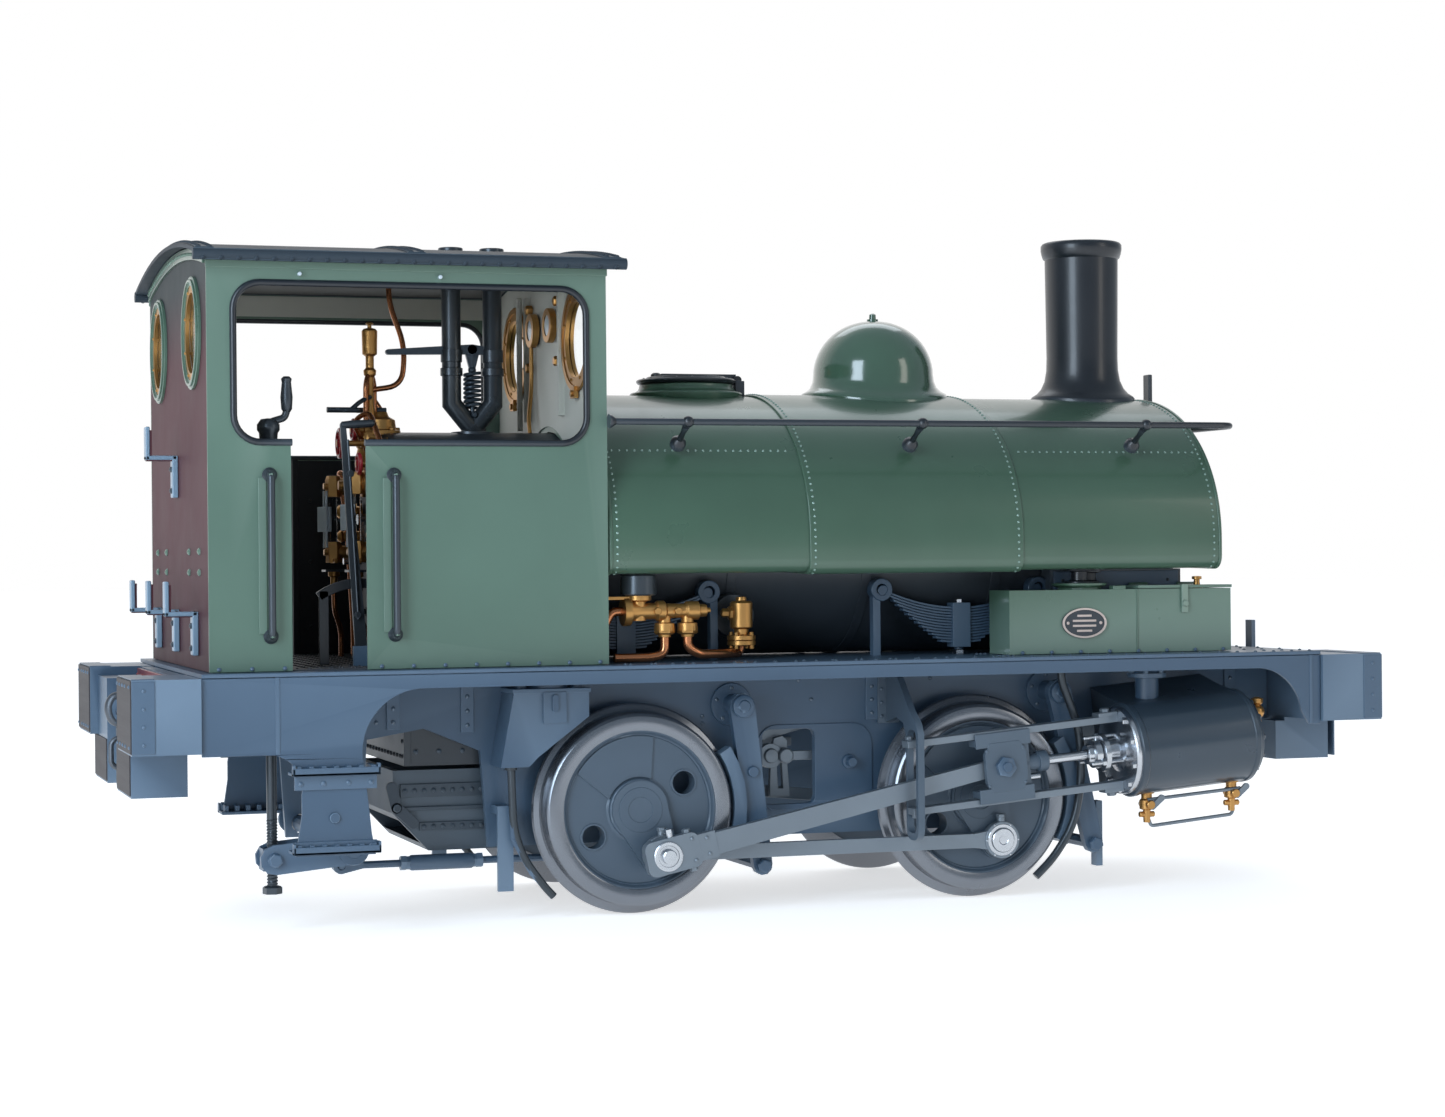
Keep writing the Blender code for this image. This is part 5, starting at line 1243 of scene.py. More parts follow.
def ashpan():
    """Angles, rivet rows and the damper's linkage on the ashpan's sides."""
    high = span("ashpan")[1]
    dress("ashpan", SOOT_SLATE, 0.4)
    shapes, spots = [], []
    for side in SIDES.values():
        out = (0, side, 0)
        shapes.append(block((-158, -105), on(side, high.y - 0.4, high.y + 1.0), (50.6, 56.2)))
        shapes.append(block((-150, -105), on(side, high.y - 0.4, high.y + 0.9), (36.4, 40.0)))
        shapes.append(block((-157, -105), on(side, high.y - 0.4, high.y + 1.4), (45.0, 46.6)))
        for start, y, z in ((-156, high.y + 1.0, 53.4), (-148, high.y + 0.9, 38.2)):
            spots += heads(row((start, side * y, z), (-107, side * y, z), 4.2), out)
        spots += heads(row((-152, side * 45.0, 70.0), (-112, side * 45.0, 70.0), 9.0), out)
        damper = [(-162.0, 55.0), (-160.0, 46.5), (-153.0, 40.0)]
        for first, second in zip(damper, damper[1:]):
            shapes.append(link(first, second, 2.4, 2.4, on(side, high.y + 1.2, high.y + 3.0)))
        shapes.append(drum((-160.0, side * (high.y + 1), 46.5), out, 3.4, 1.7, 20))
    piece("ashpan_angles", "chassis", SOOT_SLATE, shapes, 0.3)
    piece("ashpan_rivets", "chassis", SOOT_SLATE, [rivets(spots, 1.15)])


# --- wheels and motion -----------------------------------------------------------------------------

def pin_at(word, axle):
    """Where a crank pin lies at rest, as (x, z)."""
    turn = math.radians(CRANK_DEG[word])
    return (axle + THROW * math.cos(turn), AXLE_Z + THROW * math.sin(turn))


def wheels():
    """Both wheelsets."""
    for end, axle in (("rear", REAR_X), ("front", FRONT_X)):
        dress(f"{end}_axle", STEEL_DARK, 0.4)
        for word, side in SIDES.items():
            wheel(end, axle, word, side)


def wheel(end, axle, word, side):
    """A cast disc wheel: tyre, stepped rim, crank boss, balance weight and two lightening holes."""
    out = (0, side, 0)
    hub = (axle, AXLE_Z)
    turn = CRANK_DEG[word]
    back = (axle, side * WHEEL_BACK, AXLE_Z)
    tread = [(0, 33.3), (0, 43.3), (0.5, 44.2), (1.3, FLANGE_R), (2.2, 43.8), (2.9, 41.6), (3.7, 40.9),
             (11.2, 40.4), (12.0, 39.6), (12.2, 39.2), (12.2, 33.9), (11.9, 33.3), (0, 33.3)]
    piece(f"{end}_tyre_{word}", f"{end}_wheelset", TYRE_STEEL, [turned(back, out, tread, 128)], 0, 30)

    holes = []
    face = WHEEL_BACK + 9.0
    rims = []
    for step in (94.5, -84.5):
        way = math.radians(turn + step)
        x, z = axle + 22.6 * math.cos(way), AXLE_Z + 22.6 * math.sin(way)
        holes.append(circle((x, z), 5.0, 32))
        rims.append(ring((x, side * (face - 0.2), z), out, 0.7, 4.9, 5.8, 32))
    shapes = [panel(circle(hub, 33.4, 96), holes, "Y", *on(side, WHEEL_BACK + 1.0, face))]
    rim = [(9.0, 30.9), (9.7, 31.2), (10.0, 31.8), (11.0, 32.2), (11.6, 32.8), (11.6, 33.35), (8.6, 33.35),
           (8.6, 30.9), (9.0, 30.9)]
    shapes += [turned(back, out, rim, 96), *rims]
    weight = arc(hub, 31.0, turn + 180 - 35.7, turn + 180 + 35.7, 24)
    weight += arc(hub, 13.8, turn + 180 + 46.5, turn + 180 - 46.5, 20)
    shapes.append(panel(weight, [], "Y", *on(side, face - 0.5, face + 1.1)))
    pin = pin_at(word, axle)
    boss = [(-0.5, 0.5), (-0.5, 14.4), (0, 14.2), (0.5, 13.2), (2.2, 13.0), (2.6, 12.5), (2.6, 0.5)]
    shapes.append(turned((axle, side * face, AXLE_Z), out, boss, 64))
    shapes.append(link(hub, pin, 12.2, 8.5, on(side, face - 0.5, face + 3.2), 24))
    cap = [(0, 9.6), (0.5, 9.4), (0.5, 5.4), (0.1, 5.2), (0.1, 0.5)]
    shapes.append(turned((axle, side * (face + 3.0), AXLE_Z), out, cap, 48))
    piece(f"{end}_wheel_casting_{word}", f"{end}_wheelset", WHEEL_SLATE, shapes, 0.35, 32,
          (f"{end}_wheel_{word}",))

    reach = 79.2 if end == "rear" else 77.1
    pins = [drum((pin[0], side * (face + 2), pin[1]), out, reach - face - 2, 4.15, 32)]
    if end == "front":
        collar = [(0, 0.5), (0, 5.2), (0.6, 5.2), (0.9, 4.8), (0.9, 2.2), (0.6, 1.8), (0.6, 0.5)]
        pins.append(turned((pin[0], side * 77.0, pin[1]), out, collar, 32))
    piece(f"{end}_crank_pin_{word}", f"{end}_wheelset", STEEL, pins)


def engine_line(s, h=0.0):
    """A point on the cylinder line: s from the rear axle, h above the line, as (x, z)."""
    slope = math.radians(SLOPE_DEG)
    x = REAR_X + s * math.cos(slope) - h * math.sin(slope)
    return (x, AXLE_Z + s * math.sin(slope) + h * math.cos(slope))


def gudgeon_s(word):
    """How far along the cylinder line the gudgeon pin lies at rest."""
    turn = math.radians(CRANK_DEG[word] - SLOPE_DEG)
    return THROW * math.cos(turn) + math.sqrt(ROD_LENGTH ** 2 - (THROW * math.sin(turn)) ** 2)


def oil_cup(x, y, z):
    """A small drum with a hexagon lid."""
    return [drum((x, y, z), UP, 2.6, 1.7, 20), nut((x, y, z + 2.4), UP, 1.6, 2.1)]


def rods():
    """Coupling rods with oil cups and front bushes, and the connecting rods beside them."""
    for word, side in SIDES.items():
        rear, front = pin_at(word, REAR_X), pin_at(word, FRONT_X)
        out = (0, side, 0)
        low, high = rear[1] - 3.1, rear[1] + 3.1
        bar = [(rear[0] + 5, low - 1.2), (rear[0] + 13, low), (front[0] - 13, low),
               (front[0] - 5, low - 1.2), (front[0] - 5, high + 1.2), (front[0] - 13, high),
               (rear[0] + 13, high), (rear[0] + 5, high + 1.2)]
        shapes = [prism(bar, "Y", *on(side, 73.4, 76.2))]
        for x, z in (rear, front):
            shapes.append(ring((x, side * 72.8, z), out, 4.0, 4.5, 8.1, 48))
            shapes += oil_cup(x, side * 74.8, z + 7.4)
        piece(f"coupling_rod_bar_{word}", f"coupling_rod_{word}", ROD_STEEL, shapes, 0.35, 35,
              (f"coupling_rod_{word}",))
        bush = [ring((front[0], side * 76.4, front[1]), out, 0.6, 5.5, 6.9, 40)]
        bush.append(rivets(heads(around((front[0], side * 76.7, front[1]), 7.4, 6, axis="Y"), out), 0.5))
        piece(f"coupling_rod_bush_{word}", f"coupling_rod_{word}", STEEL, bush)
        connecting_rod(word, side, rear, out)


def connecting_rod(word, side, big, out):
    """Drawn level from the big end, then swung up to the gudgeon pin."""
    small = engine_line(gudgeon_s(word))
    way = math.degrees(math.atan2(small[1] - big[1], small[0] - big[0]))
    x, z = big
    tip = x + ROD_LENGTH
    bar = [(x + 10, z - 4.7), (tip - 6, z - 3.5), (tip - 6, z + 3.5), (x + 10, z + 4.7)]
    shapes = [prism(bar, "Y", *on(side, 79.9, 84.1))]
    strap = rounded((x - 9.4, x + 14.5), (z - 7.4, z + 7.4), 3.4)
    hole = circle((x, z), 4.6, 32)
    shapes.append(panel(strap, [hole], "Y", *on(side, 79.5, 84.5)))
    shapes.append(block((x + 14.0, x + 22.0), on(side, 79.6, 84.4), (z - 5.6, z + 5.6)))
    eye = circle((tip, z), 2.95, 32)
    shapes.append(panel(circle((tip, z), 6.2, 40), [eye], "Y", *on(side, 79.5, 84.4)))
    shapes += [nut((x + 10.4, side * 82, z + hand * 7.3), (0, 0, hand), 1.8, 1.9) for hand in (-1, 1)]
    bolts = [((x + 18, side * 84.4, z + lift), out) for lift in (-3.4, 3.4)]
    bolts += [((x + 11.6, side * 84.5, z + lift), out) for lift in (-4.6, 4.6)]
    shapes.append(rivets(bolts, 1.0))
    piece(f"connecting_rod_bar_{word}", f"connecting_rod_{word}", ROD_STEEL,
          [swung(bm, big, way) for bm in shapes], 0.3, 35, (f"connecting_rod_{word}",))
    cap = [(0, 0.5), (0, 6.3), (0.7, 6.3), (1.0, 5.9), (1.0, 4.6), (0.6, 4.4), (0.6, 3.2), (2.9, 3.0),
           (3.2, 2.6), (3.2, 0.5)]
    bush = [turned((x, side * 84.3, z), out, cap, 40)]
    bush += oil_cup(x + 3, side * 82, z + 7.0)
    piece(f"connecting_rod_bush_{word}", f"connecting_rod_{word}", STEEL,
          [swung(bm, big, way) for bm in bush])


def crossheads():
    """Drawn along a level line through the axles, then tilted to the cylinder's slope."""
    for word, side in SIDES.items():
        x = REAR_X + gudgeon_s(word)
        out = (0, side, 0)
        body = f"crosshead_{word}"
        cheek = [(x - 9.0, AXLE_Z - 6), (x - 6.6, AXLE_Z - 10.8), (x + 7.6, AXLE_Z - 10.8),
                 (x + 10.4, AXLE_Z - 6), (x + 10.4, AXLE_Z + 6), (x + 7.6, AXLE_Z + 10.8),
                 (x - 6.6, AXLE_Z + 10.8), (x - 9.0, AXLE_Z + 6)]
        shapes = [prism(cheek, "Y", *on(side, 85.0, 87.8))]
        for hand in (-1, 1):
            z = (AXLE_Z + hand * 9.7, AXLE_Z + hand * 12.7)
            shapes.append(block((x - 12.8, x + 13.0), on(side, 79.2, 87.2), z))
            lip = (AXLE_Z + hand * 8.9, AXLE_Z + hand * 15.2)
            shapes.append(block((x - 12.8, x + 13.0), on(side, 86.4, 87.6), lip))
        shapes.append(block((x + 9.0, x + 12.5), on(side, 79.2, 86.0), (AXLE_Z - 9.8, AXLE_Z + 9.8)))
        socket = [(-2.6, 3.6), (5.0, 3.6), (5.2, 4.6), (9.2, 4.6), (9.6, 4.2), (9.6, 0.5)]
        shapes.append(turned((x + 12, side * CYLINDER_Y, AXLE_Z), AHEAD, socket, 28))
        bolts = [(x + a, side * 87.6, AXLE_Z + b) for a in (-8, 9) for b in (-7.6, 7.6)]
        shapes.append(rivets(heads(bolts, out), 0.9))
        piece(f"crosshead_plate_{word}", body, WHEEL_SLATE, tilted(shapes), 0.4, 35, (body,))
        pin = [nut((x, side * 87.4, AXLE_Z), out, 2.7, 4.7),
               drum((x, side * 90.0, AXLE_Z), out, 1.0, 2.3, 20),
               drum((x, side * 79.3, AXLE_Z), out, 6.0, 2.7, 24)]
        piece(f"gudgeon_nut_{word}", body, SLATE, tilted(pin), 0.15)
        rod = [drum((x + 19, side * CYLINDER_Y, AXLE_Z), AHEAD, 76, 2.15, 24)]
        rod.append(drum((x + 89.5, side * CYLINDER_Y, AXLE_Z), AHEAD, 8, 14.9, 48))
        rod.append(drum((x + 11, side * CYLINDER_Y, AXLE_Z - 6.4), AHEAD, 7, 1.5, 12))
        piece(f"piston_rod_{word}", body, STEEL, tilted(rod))


def slide_bars():
    """A bar above and one below each crosshead, and the hooped bracket that carries their rear ends."""
    near, far = REAR_X + 117.0, REAR_X + CYLINDER_S[0] - 3.7
    for word, side in SIDES.items():
        bars = []
        for hand in (-1, 1):
            z = (AXLE_Z + hand * 13.0, AXLE_Z + hand * 16.0)
            bars.append(block((near, far), on(side, 79.0, 86.0), z))
            tip = (AXLE_Z + hand * 15.8, AXLE_Z + hand * 17.6)
            bars.append(block((far - 9, far), on(side, 79.0, 86.0), tip))
            bars.append(nut((far - 4.5, side * 82.5, AXLE_Z + hand * 17.4), (0, 0, hand), 2.0, 2.3))
            bars.append(nut((near + 2.6, side * 81.2, AXLE_Z + hand * 15.8), (0, 0, hand), 2.0, 1.7))
        piece(f"slide_bar_pair_{word}", "chassis", ROD_STEEL, tilted(bars), 0.3, 35,
              (f"slide_bars_{word}",))
        reach = [(52.3, 98.5), (66.0, 98.5), (69.0, 96.5), (81.0, 84.0), (88.5, 78.5), (91.0, 74.0)]
        reach += arc((85.6, 33.6), 5.4, 0, -90, 6) + arc((82.2, 33.2), 5.0, -90, -180, 6)
        reach += [(77.1, 73.0), (74.0, 78.0), (66.0, 80.0), (52.3, 77.0)]
        outline = [(a * side, b) for a, b in reach]
        hole = [(a * side, b) for a, b in rounded((78.8, 88.4), (31.4, 75.5), 3.2)]
        hoop = [panel(outline, [hole], "X", 56.0, 59.0)]
        hoop.append(block((52.6, 62.4), on(side, 52.3, 54.2), (77.0, 98.0)))
        bolts = [(x, side * 54.2, z) for x in (54.0, 61.0) for z in (80, 86, 92)]
        hoop.append(rivets(heads(bolts, (0, side, 0)), 0.9))
        piece(f"motion_bracket_{word}", "chassis", WHEEL_SLATE, hoop, 0.35)


def cylinders():
    """Each cylinder's cladding, rear cover and gland, front cover studs and steam pipe."""
    start, end = (REAR_X + s for s in CYLINDER_S)
    barrel = [(-1.0, 15.4), (-1.0, 20.3), (-0.4, 20.9), (1.8, 20.9), (2.2, 20.4), (54.0, 20.4), (54.4, 20.9),
              (56.4, 20.9), (56.9, 20.3), (57.4, 19.2), (59.0, 18.6), (59.6, 17.4), (59.6, 0.5), (55, 0.5),
              (55, 15.4), (-1.0, 15.4)]
    lid = [(-3.9, 2.6), (-3.9, 15.8), (-3.4, 18.8), (-2.8, 19.4), (-0.8, 19.4), (-0.8, 2.6), (-3.9, 2.6)]
    gland = [(-19, 2.5), (-19, 4.0), (-18.4, 4.4), (-16.6, 4.4), (-16.2, 6.2), (-13.6, 6.6), (-13, 5.4),
             (-12.6, 8.4), (-10.4, 8.4), (-10, 5.8), (-5.2, 6.0), (-3.8, 9.4), (-3.8, 2.5), (-19, 2.5)]
    boss = [(0, 7.0), (1.0, 6.6), (1.6, 5.0), (1.6, 0.5)]
    elbow = [(7.4, 5.2), (19, 5.2), (19.4, 8.6), (21.2, 8.6), (21.4, 6.6), (24.6, 6.0), (28.0, 5.4)]
    for word, side in SIDES.items():
        y = side * CYLINDER_Y
        clad = [turned((start, y, AXLE_Z), AHEAD, barrel, 96)]
        chest = [(side * 52.4, AXLE_Z + 26.5), (side * 70, AXLE_Z + 22.4), (y, AXLE_Z + 20.4),
                 (y, AXLE_Z - 20.4), (side * 52.4, AXLE_Z - 20.4)]
        clad.append(prism(chest, "X", start + 0.4, end - 0.4))
        piece(f"cylinder_cladding_{word}", "chassis", CLADDING_AND_HIGHLIGHT, tilted(clad), 0.25, 35,
              (f"cylinder_{word}",))
        covers = [turned((start, y, AXLE_Z), AHEAD, lid, 64), turned((start, y, AXLE_Z), AHEAD, gland, 48)]
        covers += [nut(at, BEHIND, 1.6, 1.7) for at in around((start - 3.6, y, AXLE_Z), 17.0, 10, 18)]
        covers += [drum(at, AHEAD, 16, 0.9, 12) for at in around((start - 19.5, y, AXLE_Z), 7.2, 3, 90)]
        covers += [nut(at, BEHIND, 1.6, 1.7) for at in around((start - 12.8, y, AXLE_Z), 7.2, 3, 90)]
        piece(f"cylinder_gland_{word}", "chassis", STEEL, tilted(covers), 0, 35)
        studs = [nut(at, AHEAD, 1.5, 1.6) for at in around((end + 2.6, y, AXLE_Z), 16.6, 12)]
        studs.append(turned((end + 3.0, y, AXLE_Z), AHEAD, boss, 32))
        piece(f"cylinder_cover_studs_{word}", "chassis", BLACK, tilted(studs))
        steam = [turned((172.0, side * 76, 76), UP, elbow, 40)]
        steam += [nut(at, UP, 1.4, 1.3) for at in around((172.0, side * 76, 97.2), 7.2, 6, axis="Z")]
        piece(f"steam_pipe_{word}", "chassis", SLATE, steam)
        cylinder_brass(word, side)


def cylinder_brass(word, side):
    """The lubricator on the front cover and the drain cocks below, with their working rods."""
    oiler = [(0, 1.5), (2.4, 2.2), (4, 1.6), (9.6, 1.8), (10.6, 2.8), (12.4, 2.8), (13.2, 1.0)]
    cock = [(0, 3.4), (2.2, 3.4), (2.4, 2.4), (4.4, 2.4), (5.2, 3.2), (9.0, 3.2), (9.6, 1.7), (15.0, 1.5)]
    x, z = engine_line(CYLINDER_S[1] + 4.5, 10.0)
    cup = [drum((x - 3, side * 85, z), AHEAD, 7, 1.6, 16), ball((x + 4.6, side * 85, z), 3.4)]
    cup.append(turned((x + 4.6, side * 85, z - 6.6), UP, oiler, 20))
    for s in (8.0, 50.0):
        x, z = engine_line(CYLINDER_S[0] + s, -19.6)
        cup.append(turned((x, side * 84, z + 1.6), DOWN, cock, 20))
        cup.append(drum((x, side * 79.5, z - 5.4), (0, side, 0), 9.4, 1.9, 20))
        cup.append(drum((x - 3.6, side * 84, z - 9.8), AHEAD, 7.2, 1.3, 12))
    piece(f"drain_cocks_{word}", "chassis", BRASS, cup)
    (ax, az), (bx, bz) = (engine_line(CYLINDER_S[0] + s, -31.5) for s in (8.0, 50.0))
    work = [tube([(ax - 2, side * 86.6, az + 8.6), (bx + 2, side * 86.6, bz + 8.6)], 0.8, 10)]
    low = [(ax, side * 84, az - 0.5), (ax + 1, side * 84, az - 3.2), (bx - 1, side * 84, bz - 3.2),
           (bx, side * 84, bz - 0.5)]
    work.append(tube(eased(low, 2.5), 0.8, 10))
    work += [link((x + 4.5, z + 9.4), (x, z + 5.4), 1.4, 1.2, on(side, 87.0, 88.2))
             for x, z in ((ax, az), (bx, bz))]
    piece(f"drain_cock_rods_{word}", "chassis", ROD_STEEL, work)


def valve_gear():
    """The curved link and its rods between the frames, and the weighshaft's finish."""
    dress("weighshaft", WHEEL_SLATE, 0.3)
    for word, side in SIDES.items():
        slot = [(8.6, 64.0), (9.4, 49.0), (11.6, 49.0), (10.9, 64.0)]
        curve = [(5.4, 45.5), (14.8, 45.5), (13.6, 62.0), (13.8, 70.0), (11.6, 72.0), (7.6, 71.0),
                 (6.0, 64.0)]
        shapes = [panel(curve, [slot], "Y", *on(side, 41.0, 43.6))]
        pivot = [(0, 5.4), (4.6, 5.4), (4.6, 3.2), (6.0, 3.0), (6.4, 0.5)]
        shapes.append(turned((5.4, side * 41.0, 63.5), (0, side, 0), pivot, 32))
        shapes.append(link((-38, 63.0), (24.5, 77.5), 3.0, 2.4, on(side, 37.0, 39.6)))
        shapes.append(link((-36, 52.0), (26.0, 45.4), 2.6, 2.6, on(side, 36.6, 39.2)))
        shapes.append(block((12.0, 47.0), on(side, 43.8, 46.6), (61.4, 65.4)))
        pivot = [(0, 3.4), (3.6, 3.4), (4.2, 2.8), (4.2, 0.5)]
        shapes.append(turned((12.0, side * 43.6, 63.4), (0, side, 0), pivot, 28))
        piece(f"expansion_link_{word}", "chassis", ROD_STEEL, shapes, 0.25)


# --- brake gear ------------------------------------------------------------------------------------

def brake_gear():
    """The brake column and its screw, the shaft's eyes, the turnbuckle and the hangers' pins."""
    for node in ("brake_shaft", "brake_pull_rod", "brake_hangers_rear", "brake_hangers_front"):
        dress(node, SLATE, 0.3)
    x, y = BRAKE_COLUMN
    bowl = [(PLATE_Z + 0.4, 8.8), (PLATE_Z + 2.0, 8.8), (PLATE_Z + 2.6, 6.0), (PLATE_Z + 4.4, 4.4),
            (184, 3.9), (187, 4.8), (188.6, 4.2), (192, 5.0), (195, 7.6), (198, 8.6), (199.0, 8.2),
            (198.6, 3.0), (106.8, 3.0)]
    piece("brake_column_turning", "chassis", BLACK, [turned((x, y, 0), UP, bowl, 56)], 0, 40,
          ("brake_column",))
    screw = [drum((x, y, 44), UP, 155, 2.1, 20)]
    thread = helix((x, y, 18.6), 1.95, 27.4, 22, 16)
    screw += [drum((x, y, 17), UP, 30, 1.95, 20), tube(thread, 0.38, 6)]
    screw.append(nut((x, y, 15.8), UP, 3.2, 4.0))
    boss = [(0, 3.6), (3.0, 3.8), (4.2, 4.6), (6.4, 4.6), (8.6, 3.0), (9.0, 0.5)]
    screw.append(turned((x, y, 199.2), UP, boss, 32))
    screw.append(pipe([(x, y, 206.4), (x + 6.5, y, 208.4), (x + 7.5, y, 211.0), (x + 7.5, y, 216)], 1.5, 2.0))
    grip = [(0, 1.5), (1.2, 2.2), (6, 2.5), (12, 1.9), (13.4, 2.2), (14.4, 1.2)]
    screw.append(turned((x + 7.5, y, 210.8), UP, grip, 24))
    piece("brake_handle", "brake_screw", PIPE_BLACK, screw, 0, 40, ("brake_screw",))
    sx, sz = -184.0, 33.0
    eyes = [drum((x, y - 8.4, 30.0), ACROSS, 16.8, 3.0, 24), nut((x, y - 8.0, 30.0), (0, -1, 0), 2.0, 3.0)]
    eyes += [ring((sx, side * 72.0, sz), (0, side, 0), 2.2, 3.4, 6.4, 32) for side in SIDES.values()]
    piece("brake_shaft_trim", "brake_shaft", SLATE, eyes, 0.15)
    centre = -141.5
    pull = [nut((centre - 17.5, -45, 23.6), AHEAD, 3.0, 3.2),
            nut((centre + 17.5, -45, 23.6), BEHIND, 3.0, 3.2)]
    pull.append(turned((centre - 14.0, -45, 23.6), AHEAD, [(0, 2.6), (1.2, 3.3), (26.8, 3.3), (28, 2.6)], 24))
    piece("brake_turnbuckle", "brake_pull_rod", SLATE, pull)
    feet = {"rear": (-6.3, 18.5), "front": (149.6, 21.7)}
    for word, pivot in HANGER_PINS.items():
        foot = feet[word]
        middle = ((pivot[0] + foot[0]) / 2, (pivot[1] + foot[1]) / 2)
        pins = []
        for side in SIDES.values():
            pins.append(nut((foot[0], side * 69.0, foot[1]), (0, side, 0), 2.4, 3.2))
            pins.append(drum((middle[0], side * 67.8, middle[1] + 6), (0, side, 0), 1.8, 2.4, 20))
        piece(f"brake_hanger_pins_{word}", f"brake_hangers_{word}", SLATE, pins, 0.15)


# --- cab fittings and pipework ---------------------------------------------------------------------

def safety_valves():
    """Twin safety valves: two columns rising from a forked seat, a spring and a lever between."""
    mid = sum(SAFETY_X) / 2
    shapes = [turned((mid, 0, 204.4), UP, [(0, 9.6), (1.6, 9.4), (2.0, 5.2), (3.4, 4.4), (5.0, 4.2)], 40)]
    for x in SAFETY_X:
        lean = 1 if x > mid else -1
        shapes.append(tube([(mid - lean * 1.5, 0, 205.5), (x, 0, 218.5), (x, 0, 285.0)], 4.2, 32))
        shapes.append(ring((x, 0, 230.5), UP, 3.5, 4.0, 4.9, 40))
        shapes.append(ring((x, 0, 236.5), UP, 5.5, 4.0, 4.7, 40))
        shapes.append(ring((x, 0, 283.0), UP, 3.4, 3.0, 5.4, 40))
    piece("safety_valve_columns", "chassis", PIPE_BLACK, shapes, 0, 35, ("safety_valves",))
    lever = [link((SAFETY_X[1] + 1, 241.2), (mid, 242.2), 1.6, 2.2, (-1.2, 1.2))]
    lever.append(link((mid, 242.2), (SAFETY_X[0] - 28, 240.6), 2.2, 1.2, (-1.2, 1.2)))
    lever.append(link((mid, 241.0), (mid, 234.0), 3.2, 1.4, (-1.0, 1.0)))
    lever.append(tube(helix((mid, 0, 216.5), 3.3, 15.5, 8, 18), 0.75, 10))
    lever += [tube([(mid, 0, 212.0), (mid, 0, 217.5)], 1.1, 12),
              tube([(mid, 0, 231.5), (mid, 0, 241)], 1.1, 12)]
    lever += [ball((mid, 0, 233.2), 1.8), drum((mid, -4.6, 213.4), ACROSS, 9.2, 1.2, 12)]
    lever += [drum((x, -1.6, 241.2), ACROSS, 3.2, 1.8, 16) for x in SAFETY_X]
    piece("safety_valve_lever", "chassis", LEVER_SLATE, lever, 0.1)


def handwheel(centre, radius):
    """A spoked wheel across the engine's length."""
    x, y, z = centre
    shapes = [tube(around(centre, radius, 32), 0.95, 12, closed=True),
              drum((x - 1.4, y, z), AHEAD, 2.8, 1.8, 20)]
    return shapes + [tube([centre, tip], 0.7, 8) for tip in around(centre, radius, 5, 18)]


